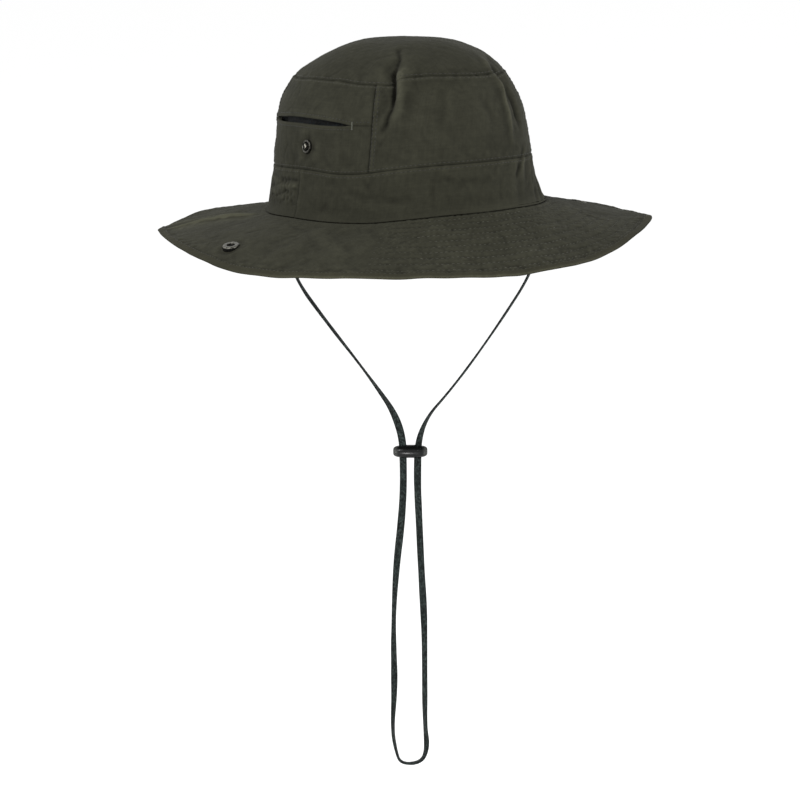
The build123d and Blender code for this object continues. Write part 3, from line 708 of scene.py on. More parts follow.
def needle_hole_shade(name, paths, pitch, seed, r=0.30, length=0.72):
    """Dark capsules between the stitches of the same lines: painted shade for the needle holes."""
    moved = []
    for P, N in paths:
        P, N = np.asarray(P), np.asarray(N)
        L = np.concatenate([[0], np.cumsum(np.linalg.norm(np.diff(P, axis=0), axis=1))])
        k = np.interp(pitch / 2, L, np.arange(len(L)))
        i = int(math.ceil(k))
        first = P[i - 1] + (P[i] - P[i - 1]) * (k - (i - 1)) if i > 0 else P[0]
        moved.append((np.concatenate([first[None], P[i:]]), np.concatenate([N[i:i + 1], N[i:]])))
    V, F = stitches(moved, pitch=pitch, length=length, r=r, sink=r * 0.8, jitter=0.05, seed=seed)
    return build(name, V, F)


# --- turned metal ---------------------------------------------------------------
def lathe(name, profile, origin, axis, n=56, wobble=None):
    """profile: (radius, height) points. origin in millimetres, axis the way heights go."""
    axis = np.array(axis, float)
    axis /= np.linalg.norm(axis)
    e1 = np.cross(axis, [0, 1, 0])
    e1 /= np.linalg.norm(e1)
    e2 = np.cross(axis, e1)
    ang = np.arange(n) / n * 2 * math.pi
    V = []
    for r, h in profile:
        rr = np.full(n, float(r))
        hh = np.full(n, float(h))
        if wobble is not None:
            rr, hh = wobble(ang, rr, hh)
        V.append(np.array(origin) + np.outer(np.cos(ang) * rr, e1) + np.outer(np.sin(ang) * rr, e2) + np.outer(hh, axis))
    V = np.concatenate(V)
    k = len(profile)
    F = []
    for i in range(k - 1):
        for j in range(n):
            j2 = (j + 1) % n
            F.append((i * n + j, i * n + j2, (i + 1) * n + j2, (i + 1) * n + j))
    return V, F


def rounded(points, r=0.2, steps=4):
    """Rounds the inner corners of a profile."""
    out = [points[0]]
    for a, b, c in zip(points, points[1:], points[2:]):
        a, b, c = np.array(a, float), np.array(b, float), np.array(c, float)
        la, lc = np.linalg.norm(a - b), np.linalg.norm(c - b)
        k = min(r, la * 0.45, lc * 0.45)
        p, q = b + (a - b) / la * k, b + (c - b) / lc * k
        for s in np.linspace(0, 1, steps):
            out.append(tuple((1 - s) ** 2 * p + 2 * s * (1 - s) * b + s * s * q))
    out.append(points[-1])
    return out


def tube(points, r, sides=10):
    P = np.array(points, float)
    T = np.gradient(P, axis=0)
    T /= np.linalg.norm(T, axis=1, keepdims=True)
    up = np.array([0.31, 0.52, 0.8])
    V, F = [], []
    for p, t in zip(P, T):
        e1 = np.cross(t, up)
        e1 /= np.linalg.norm(e1)
        e2 = np.cross(t, e1)
        ang = np.arange(sides) / sides * 2 * math.pi
        V.append(p + np.outer(np.cos(ang) * r, e1) + np.outer(np.sin(ang) * r, e2))
    n = len(P)
    for i in range(n - 1):
        for j in range(sides):
            j2 = (j + 1) % sides
            F.append((i * sides + j, i * sides + j2, (i + 1) * sides + j2, (i + 1) * sides + j))
    F.append(tuple(range(sides))[::-1])
    F.append(tuple((n - 1) * sides + j for j in range(sides)))
    return np.concatenate(V), F


def merged(name, parts, uv=False):
    V, F, base = [], [], 0
    for v, f in parts:
        V.append(v)
        F += [tuple(int(i) + base for i in q) for q in f]
        base += len(v)
    return build(name, np.concatenate(V), F)


# --- materials ------------------------------------------------------------------
def lin(rgb):
    return tuple(((c / 255) / 12.92 if c / 255 <= 0.04045 else ((c / 255 + 0.055) / 1.055) ** 2.4) for c in rgb)


class Graph:
    def __init__(self, name):
        self.m = bpy.data.materials.new(name)
        self.m.use_nodes = True
        self.t = self.m.node_tree
        self.t.nodes.clear()
        self.out = self.t.nodes.new("ShaderNodeOutputMaterial")
        self.bsdf = self.t.nodes.new("ShaderNodeBsdfPrincipled")
        self.t.links.new(self.bsdf.outputs["BSDF"], self.out.inputs["Surface"])

    def node(self, kind, **settings):
        n = self.t.nodes.new(kind)
        for k, v in settings.items():
            if k in n.inputs:
                n.inputs[k].default_value = v
            else:
                setattr(n, k, v)
        return n

    def link(self, a, b):
        self.t.links.new(a, b)

    def math(self, op, a, b=None, clamp=False):
        n = self.t.nodes.new("ShaderNodeMath")
        n.operation = op
        n.use_clamp = clamp
        for i, x in enumerate((a, b)):
            if x is None:
                continue
            if isinstance(x, (int, float)):
                n.inputs[i].default_value = x
            else:
                self.link(x, n.inputs[i])
        return n.outputs[0]

    def ramp(self, fac, stops):
        n = self.t.nodes.new("ShaderNodeValToRGB")
        while len(n.color_ramp.elements) < len(stops):
            n.color_ramp.elements.new(0.5)
        for e, (p, c) in zip(n.color_ramp.elements, stops):
            e.position = p
            e.color = (*c, 1.0)
        self.link(fac, n.inputs["Fac"])
        return n.outputs["Color"]


def scaled(rgb, k):
    return tuple(min(c * k, 1.0) for c in rgb)


def cloth(name, base, light, dark, weave=2.1, sheen=0.02, rough=0.85, spec=0.05, bump=0.16, coords="UV", slub=0.5):
    """Plain-woven nylon: two crossing sets of yarns, slubs, and a slow change of tone. weave is yarns per millimetre."""
    g = Graph(name)
    tc = g.node("ShaderNodeTexCoord")
    src = tc.outputs[coords]
    sep = g.node("ShaderNodeSeparateXYZ")
    g.link(src, sep.inputs[0])
    k = weave * 1000 * math.pi
    wx = g.math("SINE", g.math("MULTIPLY", sep.outputs[0], k))
    wy = g.math("SINE", g.math("MULTIPLY", sep.outputs[1], k))
    over = g.math("MULTIPLY", wx, wy)
    ribs = g.math("ADD", g.math("MULTIPLY", g.math("ABSOLUTE", wx), 0.5), g.math("MULTIPLY", g.math("ABSOLUTE", wy), 0.5))
    yarn = g.math("ADD", ribs, g.math("MULTIPLY", over, 0.35))
    # slubs: thin streaks along each yarn direction
    m1 = g.node("ShaderNodeMapping")
    m1.inputs["Scale"].default_value = (900.0, 60.0, 900.0)
    g.link(src, m1.inputs["Vector"])
    n1 = g.node("ShaderNodeTexNoise", Scale=1.0, Detail=2.0, Roughness=0.6)
    g.link(m1.outputs[0], n1.inputs["Vector"])
    m2 = g.node("ShaderNodeMapping")
    m2.inputs["Scale"].default_value = (60.0, 900.0, 900.0)
    g.link(src, m2.inputs["Vector"])
    n2 = g.node("ShaderNodeTexNoise", Scale=1.0, Detail=2.0, Roughness=0.6)
    g.link(m2.outputs[0], n2.inputs["Vector"])
    streak = g.math("ADD", n1.outputs["Fac"], n2.outputs["Fac"])
    # slow tone and faint crumple from the object's own coordinates
    n3 = g.node("ShaderNodeTexNoise", Scale=22.0, Detail=4.0, Roughness=0.55)
    g.link(tc.outputs["Object"], n3.inputs["Vector"])
    n4 = g.node("ShaderNodeTexNoise", Scale=170.0, Detail=3.0, Roughness=0.6)
    g.link(tc.outputs["Object"], n4.inputs["Vector"])
    n5 = g.node("ShaderNodeTexNoise", Scale=420.0, Detail=2.0, Roughness=0.7)
    g.link(tc.outputs["Object"], n5.inputs["Vector"])
    tone = g.math("ADD", g.math("MULTIPLY", n3.outputs["Fac"], 0.20), g.math("MULTIPLY", streak, 0.20 * slub + 0.02))
    tone = g.math("ADD", tone, g.math("MULTIPLY", n4.outputs["Fac"], 0.11))
    tone = g.math("ADD", tone, g.math("MULTIPLY", n5.outputs["Fac"], 0.15))
    tone = g.math("ADD", tone, g.math("MULTIPLY", yarn, 0.06))
    # crests get a painted highlight and folds get painted shade, partly also wear
    shade_node = g.node("ShaderNodeAttribute", attribute_name="wear_and_painted_shade")
    tone = g.math("ADD", g.math("ADD", tone, shade_node.outputs["Fac"]), 0.185)
    col = g.ramp(tone, [(0.28, scaled(dark, 0.42)), (0.40, dark), (0.555, base), (0.74, light), (0.86, scaled(light, 1.5))])
    g.link(col, g.bsdf.inputs["Base Color"])
    g.bsdf.inputs["Roughness"].default_value = rough
    g.bsdf.inputs["Specular IOR Level"].default_value = spec
    g.bsdf.inputs["Sheen Weight"].default_value = sheen
    g.bsdf.inputs["Sheen Roughness"].default_value = 0.5
    g.bsdf.inputs["Sheen Tint"].default_value = (0.9, 0.9, 0.8, 1.0)
    b = g.node("ShaderNodeBump")
    b.inputs["Strength"].default_value = bump
    b.inputs["Distance"].default_value = 0.0004
    h = g.math("ADD", g.math("MULTIPLY", yarn, 0.5), g.math("MULTIPLY", streak, 0.5))
    g.link(h, b.inputs["Height"])
    b2 = g.node("ShaderNodeBump")
    b2.inputs["Strength"].default_value = 0.22
    b2.inputs["Distance"].default_value = 0.0010
    g.link(n4.outputs["Fac"], b2.inputs["Height"])
    g.link(b.outputs["Normal"], b2.inputs["Normal"])
    g.link(b2.outputs["Normal"], g.bsdf.inputs["Normal"])
    return g.m


# the same nylon in lighter and darker copies: the brim lighter than the crown as painted light on its upward face, the
# hem paler still as painted light on its rolled edge, the brim's under side darker as painted shade
CROWN = (0.0206, 0.0205, 0.0143)
BRIM = (0.0232, 0.0230, 0.0158)
mat_crown = cloth("crown_cloth", CROWN, scaled(CROWN, 1.55), scaled(CROWN, 0.62))
mat_brim = cloth("brim_cloth", BRIM, scaled(BRIM, 1.55), scaled(BRIM, 0.62))
HEM_TONE = (0.0243, 0.0237, 0.0156)
mat_hem = cloth("brim_hem_cloth", HEM_TONE, scaled(HEM_TONE, 1.5), scaled(HEM_TONE, 0.65))
mat_under = cloth("brim_under_cloth", scaled(BRIM, 0.95), scaled(BRIM, 1.4), scaled(BRIM, 0.66))
mat_sweat = cloth("sweatband_tape", (0.013, 0.013, 0.010), (0.021, 0.021, 0.016), (0.008, 0.008, 0.006), weave=1.1, bump=0.35, sheen=0.15)
# a near-black copy of the cloth for the strips under the seams: painted shade in their gaps
mat_seam_shadow = cloth("seam_shadow_strip", (0.0062, 0.0062, 0.0045), (0.0090, 0.0090, 0.0065), (0.0036, 0.0036, 0.0026), sheen=0.0, spec=0.0)
mat_lining = cloth("interlining", (0.05, 0.05, 0.042), (0.07, 0.07, 0.06), (0.035, 0.035, 0.03), weave=0.6, bump=0.2)


def thread_material(name, colour):
    g = Graph(name)
    tc = g.node("ShaderNodeTexCoord")
    n = g.node("ShaderNodeTexNoise", Scale=1400.0, Detail=2.0, Roughness=0.6)
    g.link(tc.outputs["Object"], n.inputs["Vector"])
    g.link(g.ramp(n.outputs["Fac"], [(0.35, scaled(colour, 0.7)), (0.65, scaled(colour, 1.25))]), g.bsdf.inputs["Base Color"])
    g.bsdf.inputs["Roughness"].default_value = 0.55
    g.bsdf.inputs["Specular IOR Level"].default_value = 0.3
    return g.m


mat_thread = thread_material("thread_crown", (0.0208, 0.0205, 0.0142))
# one brim thread in two copies, the lighter for the middle of the front rows and a darker one for their ends and the
# hem: painted light and painted shade
mat_thread_brim = thread_material("thread_brim", (0.044, 0.043, 0.032))
mat_thread_shaded = thread_material("thread_brim_shaded", (0.031, 0.0305, 0.0215))
mat_tack = thread_material("thread_tack", (0.056, 0.058, 0.045))
# near-black for the pits between stitches: painted shade
mat_hole_shade = thread_material("needle_hole_shade", (0.0035, 0.0035, 0.0026))


def mesh_material():
    g = Graph("pocket_mesh")
    tc = g.node("ShaderNodeTexCoord")
    m = g.node("ShaderNodeMapping")
    m.inputs["Scale"].default_value = (1.0, 1.0, 1.0)
    g.link(tc.outputs["UV"], m.inputs["Vector"])
    v = g.node("ShaderNodeTexVoronoi", Scale=650.0)
    g.link(m.outputs[0], v.inputs["Vector"])
    n = g.node("ShaderNodeTexNoise", Scale=420.0, Detail=2.0)
    g.link(tc.outputs["Object"], n.inputs["Vector"])
    mix = g.math("ADD", g.math("MULTIPLY", v.outputs["Distance"], 0.9), g.math("MULTIPLY", n.outputs["Fac"], 0.3))
    # a dark mesh, darkened further as painted shade for the hollow inside the pocket
    g.link(g.ramp(mix, [(0.25, (0.0048, 0.0100, 0.0122)), (0.50, (0.0009, 0.0020, 0.0026)), (0.80, (0.0003, 0.0005, 0.0007))]), g.bsdf.inputs["Base Color"])
    g.bsdf.inputs["Roughness"].default_value = 0.6
    g.bsdf.inputs["Specular IOR Level"].default_value = 0.12
    b = g.node("ShaderNodeBump", Strength=0.5, Distance=0.0003, Height=0.0)
    g.link(v.outputs["Distance"], b.inputs["Height"])
    g.link(b.outputs["Normal"], g.bsdf.inputs["Normal"])
    return g.m


def metal_material(name="snap_metal", k=1.0):
    g = Graph(name)
    tc = g.node("ShaderNodeTexCoord")
    n = g.node("ShaderNodeTexNoise", Scale=900.0, Detail=4.0, Roughness=0.65)
    g.link(tc.outputs["Object"], n.inputs["Vector"])
    g.link(g.ramp(n.outputs["Fac"], [(0.34, scaled((0.030, 0.029, 0.024), k)), (0.55, scaled((0.125, 0.122, 0.104), k)), (0.76, scaled((0.27, 0.26, 0.23), k))]), g.bsdf.inputs["Base Color"])
    g.bsdf.inputs["Metallic"].default_value = 1.0
    r = g.math("ADD", g.math("MULTIPLY", n.outputs["Fac"], 0.35), 0.22)
    g.link(r, g.bsdf.inputs["Roughness"])
    b = g.node("ShaderNodeBump", Strength=0.25, Distance=0.0002)
    g.link(n.outputs["Fac"], b.inputs["Height"])
    g.link(b.outputs["Normal"], g.bsdf.inputs["Normal"])
    return g.m


def cord_material():
    g = Graph("cord_braid")
    tc = g.node("ShaderNodeTexCoord")
    sep = g.node("ShaderNodeSeparateXYZ")
    g.link(tc.outputs["UV"], sep.inputs[0])
    # herringbone of a flat braid: UV x runs along the cord, y across it, in metres
    across = g.math("ABSOLUTE", sep.outputs[1])
    k = 2 * math.pi / 0.0011
    a = g.math("SINE", g.math("MULTIPLY", g.math("ADD", sep.outputs[0], g.math("MULTIPLY", across, 0.9)), k))
    fine = g.math("SINE", g.math("MULTIPLY", sep.outputs[1], 2 * math.pi / 0.0007))
    n = g.node("ShaderNodeTexNoise", Scale=720.0, Detail=3.0, Roughness=0.75)
    g.link(tc.outputs["Object"], n.inputs["Vector"])
    n2 = g.node("ShaderNodeTexNoise", Scale=60.0, Detail=2.0)
    g.link(tc.outputs["Object"], n2.inputs["Vector"])
    h = g.math("ADD", g.math("MULTIPLY", a, 0.30), g.math("MULTIPLY", fine, 0.12))
    tone = g.math("ADD", g.math("MULTIPLY", h, 0.30), g.math("ADD", g.math("MULTIPLY", n.outputs["Fac"], 0.95), g.math("MULTIPLY", n2.outputs["Fac"], 0.14)))
    tone = g.math("ADD", tone, -0.06)
    g.link(g.ramp(tone, [(0.31, (0.0003, 0.0005, 0.0005)), (0.49, (0.0036, 0.0056, 0.0053)), (0.68, (0.044, 0.058, 0.054))]), g.bsdf.inputs["Base Color"])
    g.bsdf.inputs["Roughness"].default_value = 0.65
    g.bsdf.inputs["Specular IOR Level"].default_value = 0.07
    g.bsdf.inputs["Sheen Weight"].default_value = 0.02
    b = g.node("ShaderNodeBump", Strength=0.6, Distance=0.00025)
    g.link(g.math("ADD", h, g.math("MULTIPLY", n.outputs["Fac"], 0.5)), b.inputs["Height"])
    g.link(b.outputs["Normal"], g.bsdf.inputs["Normal"])
    return g.m


def toggle_material():
    g = Graph("toggle_plastic")
    tc = g.node("ShaderNodeTexCoord")
    n = g.node("ShaderNodeTexNoise", Scale=260.0, Detail=3.0, Roughness=0.6)
    g.link(tc.outputs["Object"], n.inputs["Vector"])
    # on the toggle this attribute only marks its rougher, greyer ends
    ends = g.node("ShaderNodeAttribute", attribute_name="wear_and_painted_shade")
    fine = g.node("ShaderNodeTexNoise", Scale=900.0, Detail=3.0, Roughness=0.7)
    g.link(tc.outputs["Object"], fine.inputs["Vector"])
    tone = g.math("ADD", g.math("MULTIPLY", n.outputs["Fac"], 0.25), g.math("MULTIPLY", g.math("MULTIPLY", fine.outputs["Fac"], 1.25), ends.outputs["Fac"]))
    g.link(g.ramp(tone, [(0.06, (0.0024, 0.0027, 0.0027)), (0.20, (0.0058, 0.0064, 0.0062)), (0.55, (0.016, 0.017, 0.016)), (0.95, (0.055, 0.056, 0.052))]), g.bsdf.inputs["Base Color"])
    r = g.math("ADD", g.math("ADD", g.math("MULTIPLY", n.outputs["Fac"], 0.12), 0.17), g.math("MULTIPLY", ends.outputs["Fac"], 0.42))
    g.link(r, g.bsdf.inputs["Roughness"])
    g.bsdf.inputs["Specular IOR Level"].default_value = 0.17
    b = g.node("ShaderNodeBump", Strength=0.12, Distance=0.0003)
    g.link(n.outputs["Fac"], b.inputs["Height"])
    g.link(b.outputs["Normal"], g.bsdf.inputs["Normal"])
    return g.m


# near-black for the snaps' hollows and under their rims: painted shade and shadow
def snap_shade_material():
    g = Graph("snap_well_shade")
    tc = g.node("ShaderNodeTexCoord")
    n = g.node("ShaderNodeTexNoise", Scale=1200.0, Detail=3.0, Roughness=0.6)
    g.link(tc.outputs["Object"], n.inputs["Vector"])
    g.link(g.ramp(n.outputs["Fac"], [(0.35, (0.0012, 0.0012, 0.0010)), (0.70, (0.0050, 0.0048, 0.0040))]), g.bsdf.inputs["Base Color"])
    g.bsdf.inputs["Roughness"].default_value = 0.6
    g.bsdf.inputs["Specular IOR Level"].default_value = 0.05
    return g.m


# the same plated metal in a darker copy for the stud's ring and a brighter copy for its nub: painted shade on the ring,
# painted highlight on the nub
mat_ring_shaded, mat_nub_lit = metal_material("stud_ring", 0.40), metal_material("stud_nub", 1.7)
mat_mesh, mat_metal, mat_cord, mat_toggle, mat_snap_shade = mesh_material(), metal_material(), cord_material(), toggle_material(), snap_shade_material()


def wear(o, material):
    o.data.materials.clear()
    o.data.materials.append(material)
    return o


def const(x):
    return lambda q: np.full(np.shape(q), float(x))


# --- camera and light ------------------------------------------------------------
a, e, roll = math.radians(-34.0), math.radians(11.2), math.radians(2.0)
f = Vector((-math.sin(a) * math.cos(e), math.cos(a) * math.cos(e), -math.sin(e)))
r0 = Vector((math.cos(a), math.sin(a), 0.0))
u0 = r0.cross(f)
right = math.cos(roll) * r0 - math.sin(roll) * u0
up = math.sin(roll) * r0 + math.cos(roll) * u0
cam_data = bpy.data.cameras.new("camera")
cam_data.sensor_width = 36.0
cam_data.lens = 159.97
cam_data.clip_end = 50.0
cam = bpy.data.objects.new("camera", cam_data)
bpy.context.scene.collection.objects.link(cam)
m = Matrix.Identity(4)
for i in range(3):
    m[i][0], m[i][1], m[i][2] = right[i], up[i], -f[i]
m[0][3], m[1][3], m[2][3] = -1.28215, -1.88653, 0.32159
cam.matrix_world = m
bpy.context.scene.camera = cam
VIEW = np.array(f)

scene = bpy.context.scene
scene.view_settings.view_transform = "Standard"
world = bpy.data.worlds.new("studio")
scene.world = world
world.use_nodes = True
bg = world.node_tree.nodes["Background"]
bg.inputs["Color"].default_value = (1.0, 1.0, 1.0, 1.0)
bg.inputs["Strength"].default_value = 1.03


def area(name, at, towards, size, power):
    d = bpy.data.lights.new(name, "AREA")
    d.shape = "SQUARE"
    d.size = size
    d.energy = power
    o = bpy.data.objects.new(name, d)
    scene.collection.objects.link(o)
    o.location = at
    o.rotation_euler = (Vector(towards) - Vector(at)).to_track_quat("-Z", "Y").to_euler()
    return o


area("key", (-1.9, -1.0, 1.25), (0, 0, 0.02), 0.55, 34.0)
area("fill", (0.5, -2.3, 0.7), (0, 0, 0.0), 1.2, 6.0)
area("side", (1.9, -1.2, -0.22), (0, 0, 0.04), 0.42, 17.0)
area("low", (-0.411, -0.502, -0.405), (0, 0, -0.165), 0.10, 1.7)
area("rim", (-1.4, 1.5, 0.8), (-0.05, 0.05, 0.0), 0.6, 6.5)

# --- the chin cord and its toggle --------------------------------------------------
ROUTE = [
    (-0.0855, -0.0054, -0.0026), (-0.0915, -0.0045, -0.0165), (-0.0914, -0.0048, -0.0366), (-0.0649, -0.0010, -0.0702), (-0.0348, 0.0012, -0.1070),
    (-0.0038, 0.0061, -0.1474), (-0.0033, 0.0081, -0.1842), (-0.0046, 0.0107, -0.2131), (-0.0076, 0.0147, -0.2449), (-0.0092, 0.0184, -0.2868),
    (-0.0083, 0.0202, -0.3277), (-0.0097, 0.0231, -0.3576), (-0.0077, 0.0226, -0.3726), (-0.0050, 0.0214, -0.3822), (0.0066, 0.0135, -0.3818),
    (0.0099, 0.0107, -0.3715), (0.0085, 0.0106, -0.3544), (0.0083, 0.0089, -0.3255), (0.0081, 0.0065, -0.2835), (0.0062, 0.0054, -0.2435),
    (0.0049, 0.0041, -0.2096), (0.0039, 0.0032, -0.1846), (0.0047, 0.0006, -0.1487), (0.0363, 0.0025, -0.1257), (0.0693, 0.0003, -0.0916),
    (0.1019, -0.0023, -0.0530), (0.0998, -0.0036, -0.0310), (0.0926, -0.0046, -0.0155), (0.0855, -0.0054, -0.0026),
]
IN_RIGHT = (-0.0039, 0.00735, -0.1658)      # where each strand is inside the toggle
IN_LEFT = (0.0043, 0.0019, -0.16665)
STRANDS = {
    "chin_cord_right": ROUTE[:6] + [IN_RIGHT],
    "chin_cord_loop": [IN_RIGHT] + ROUTE[6:22] + [IN_LEFT],
    "chin_cord_left": [IN_LEFT] + ROUTE[22:],
}
# how wide the flat cord looks from the front, by height: it twists as it hangs
LOOKS = {
    "chin_cord_right": curve([(-170, 4.00), (-157, 4.15), (-149, 4.10), (-140, 3.75), (-131, 2.70), (-122, 2.25), (-113, 1.65), (-104, 1.35), (-95, 1.45), (-86, 1.65), (-77, 1.85), (-69, 1.75), (-60, 1.95), (-51, 2.00), (-43, 1.60), (-20, 2.60), (-2, 4.00)]),
    "chin_cord_left": curve([(-170, 4.00), (-158, 3.50), (-150, 2.50), (-143, 1.80), (-136, 1.45), (-130, 1.35), (-123, 1.30), (-115, 1.40), (-108, 1.25), (-101, 1.25), (-94, 1.30), (-87, 1.40), (-79, 1.50), (-72, 1.45), (-64, 1.55), (-30, 2.60), (-2, 4.00)]),
}
LOOK_DOWN = curve([(-384, 1.40), (-377, 1.50), (-367, 1.90), (-357, 2.10), (-348, 2.50), (-338, 3.00), (-328, 3.50), (-319, 3.75), (-309, 3.30), (-299, 3.15), (-289, 2.70), (-280, 2.50), (-270, 2.70), (-260, 3.05), (-251, 3.50), (-241, 3.80), (-231, 4.00), (-221, 4.10), (-212, 4.10), (-202, 3.90), (-192, 3.90), (-183, 3.85), (-173, 3.95)])
LOOK_UP = curve([(-384, 1.50), (-377, 2.20), (-367, 3.00), (-357, 2.45), (-348, 2.60), (-338, 3.00), (-328, 3.05), (-319, 3.00), (-309, 3.05), (-299, 3.15), (-289, 3.35), (-280, 3.75), (-270, 3.90), (-260, 3.90), (-251, 3.65), (-241, 3.70), (-231, 3.75), (-221, 3.75), (-212, 3.75), (-202, 3.90), (-192, 3.85), (-183, 4.10), (-173, 4.00)])
CORD_W, CORD_T = 4.95, 1.35


def read_route(name, points):
    """The smooth line of a route, as points read from its spline."""
    c = bpy.data.curves.new(name + "_route", "CURVE")
    c.dimensions = "3D"
    c.resolution_u = 48
    s = c.splines.new("NURBS")
    s.points.add(len(points) - 1)
    for p, q in zip(s.points, points):
        p.co = (*q, 1.0)
    s.order_u = 3
    s.use_endpoint_u = True
    o = bpy.data.objects.new(name + "_route", c)
    scene.collection.objects.link(o)
    bpy.context.view_layer.update()
    line = bpy.data.meshes.new_from_object(o)
    pts = np.array([v.co[:] for v in line.vertices])
    bpy.data.objects.remove(o)
    bpy.data.meshes.remove(line)
    keep = np.concatenate([[True], np.linalg.norm(np.diff(pts, axis=0), axis=1) > 1e-6])
    return pts[keep]


def section(sides):
    """The flat cord's own section: across and through."""
    ang = (np.arange(sides) + 0.5) / sides * 2 * math.pi
    return np.sign(np.cos(ang)) * np.abs(np.cos(ang)) ** 0.55 * CORD_W / 2, np.sign(np.sin(ang)) * np.abs(np.sin(ang)) ** 0.75 * CORD_T / 2


def turn_for(width):
    """Angle between the flat cord's width and the picture plane that makes it look that wide."""
    cx, cy = section(40)
    phi = np.linspace(0, math.pi / 2, 200)
    w = np.array([2 * np.max(cx * math.cos(q) + cy * math.sin(q)) for q in phi])
    k = int(np.argmax(w))
    return np.interp(-np.asarray(width), -w[k:], phi[k:])


def ribbon(name, points, turn, sides=20):
    P = points * 1000.0
    T = np.gradient(P, axis=0)
    T /= np.linalg.norm(T, axis=1, keepdims=True)
    e1 = np.cross(T, VIEW)
    e1 /= np.linalg.norm(e1, axis=1, keepdims=True)
    e2 = np.cross(e1, T)
    wide = e1 * np.cos(turn)[:, None] + e2 * np.sin(turn)[:, None]
    flat = np.cross(T, wide)
    L = np.concatenate([[0], np.cumsum(np.linalg.norm(np.diff(P, axis=0), axis=1))])
    cx, cy = section(sides)
    ripple = 1 + 0.05 * np.sin(L * 2 * math.pi / 1.1)
    V = P[:, None] + wide[:, None] * cx[None, :, None] + flat[:, None] * (cy[None, :] * ripple[:, None])[..., None]
    n = len(P)
    i, j = np.meshgrid(np.arange(n - 1), np.arange(sides), indexing="ij")
    j2 = (j + 1) % sides
    F = np.stack([i * sides + j, i * sides + j2, (i + 1) * sides + j2, (i + 1) * sides + j], -1).reshape(-1, 4)
    uv = np.stack([np.repeat(L[:, None], sides, 1), np.repeat(cx[None], n, 0)], -1).reshape(-1, 2)
    faces = F.tolist() + [list(range(sides))[::-1], [(n - 1) * sides + k for k in range(sides)]]
    return wear(build(name, V.reshape(-1, 3), faces, uv), mat_cord)


def toggle():
    at = np.array([0.19, 4.62, -165.42])
    along = np.array([0.8295, -0.5574, -0.0341])
    down = np.array([0.0, 0.06105, -0.99813])
    deep = np.cross(along, down)
    La, Ld, Lh = 22.6 / 2, 9.6 / 2, 8.6 / 2
    bm = bmesh.new()
    nu, nv = 64, 32
    V = []
    for i in range(nv + 1):
        phi = -math.pi / 2 + math.pi * i / nv
        row = []
        for j in range(nu):
            th = 2 * math.pi * j / nu
            # a pill: round section, long along the row of holes, a little flattened
            cx = math.copysign(abs(math.cos(th)) ** 0.90, math.cos(th))
            sx = math.copysign(abs(math.sin(th)) ** 0.90, math.sin(th))
            r = abs(math.cos(phi)) ** 0.46
            x = math.copysign(abs(math.sin(phi)) ** 0.95, math.sin(phi)) * La
            row.append(bm.verts.new(Vector((x, r * cx * Ld, r * sx * Lh))) if 0 < i < nv else None)
        if i in (0, nv):
            p = bm.verts.new(Vector((math.copysign(La, i - 1), 0, 0)))
            row = [p] * nu
        V.append(row)
    for i in range(nv):
        for j in range(nu):
            j2 = (j + 1) % nu
            q = [V[i][j], V[i][j2], V[i + 1][j2], V[i + 1][j]]
            q = [x for k, x in enumerate(q) if x not in q[:k]]
            bm.faces.new(q)
    bmesh.ops.recalc_face_normals(bm, faces=bm.faces)
    mesh = bpy.data.meshes.new("cord_toggle_body")
    bm.to_mesh(mesh)
    bm.free()
    o = bpy.data.objects.new("toggle_bead", mesh)
    scene.collection.objects.link(o)
    cutters = []
    for s in (-4.9, 4.9):
        bm = bmesh.new()
        n = 24
        rings = []
        for z, grow in ((-9, 1.6), (-4.6, 0.45), (-3.6, 0.0), (3.6, 0.0), (4.6, 0.45), (9, 1.6)):
            rr = []
            for k in range(n):
                th = 2 * math.pi * k / n
                x = math.cos(th) * (1.6 + grow) + math.copysign(1.0, math.cos(th)) * 1.0
                rr.append(bm.verts.new(Vector((x + s, math.sin(th) * (1.6 + grow), z))))
            rings.append(rr)
        for p, q in zip(rings, rings[1:]):
            for k in range(n):
                bm.faces.new([p[k], p[(k + 1) % n], q[(k + 1) % n], q[k]])
        bm.faces.new(rings[0][::-1])
        bm.faces.new(rings[-1])
        bmesh.ops.recalc_face_normals(bm, faces=bm.faces)
        cm = bpy.data.meshes.new("cutter")
        bm.to_mesh(cm)
        bm.free()
        c = bpy.data.objects.new("cutter", cm)
        scene.collection.objects.link(c)
        mod = o.modifiers.new("hole", "BOOLEAN")
        mod.operation = "DIFFERENCE"
        mod.solver = "EXACT"
        mod.object = c
        cutters.append(c)
    bpy.context.view_layer.update()
    cut = bpy.data.meshes.new_from_object(o.evaluated_get(bpy.context.evaluated_depsgraph_get()))
    for c in cutters:
        bpy.data.objects.remove(c)
    o.modifiers.clear()
    o.data = cut
    bev = o.modifiers.new("edge", "BEVEL")
    bev.width = 0.28
    bev.segments = 3
    bev.limit_method = "ANGLE"
    bev.angle_limit = math.radians(38)
    bpy.context.view_layer.update()
    done = bpy.data.meshes.new_from_object(o.evaluated_get(bpy.context.evaluated_depsgraph_get()))
    o.modifiers.clear()
    o.data = done
    co = np.zeros(len(done.vertices) * 3)
    done.vertices.foreach_get("co", co)
    co = co.reshape(-1, 3)
    # here the attribute holds only the mask of the toggle's rougher, greyer ends
    layer = done.attributes.new("wear_and_painted_shade", "FLOAT", "POINT")
    layer.data.foreach_set("value", smooth01((np.abs(co[:, 0]) - 7.6) / 1.8).astype(np.float32))
    world_co = (at + co[:, :1] * along + co[:, 1:2] * deep + co[:, 2:3] * down) * MM
    done.vertices.foreach_set("co", world_co.ravel())
    done.polygons.foreach_set("use_smooth", np.ones(len(done.polygons), bool))
    done.update()
    wear(o, mat_toggle)
    return o


bead = toggle()
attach(bead, "toggle")
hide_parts("cord_toggle")

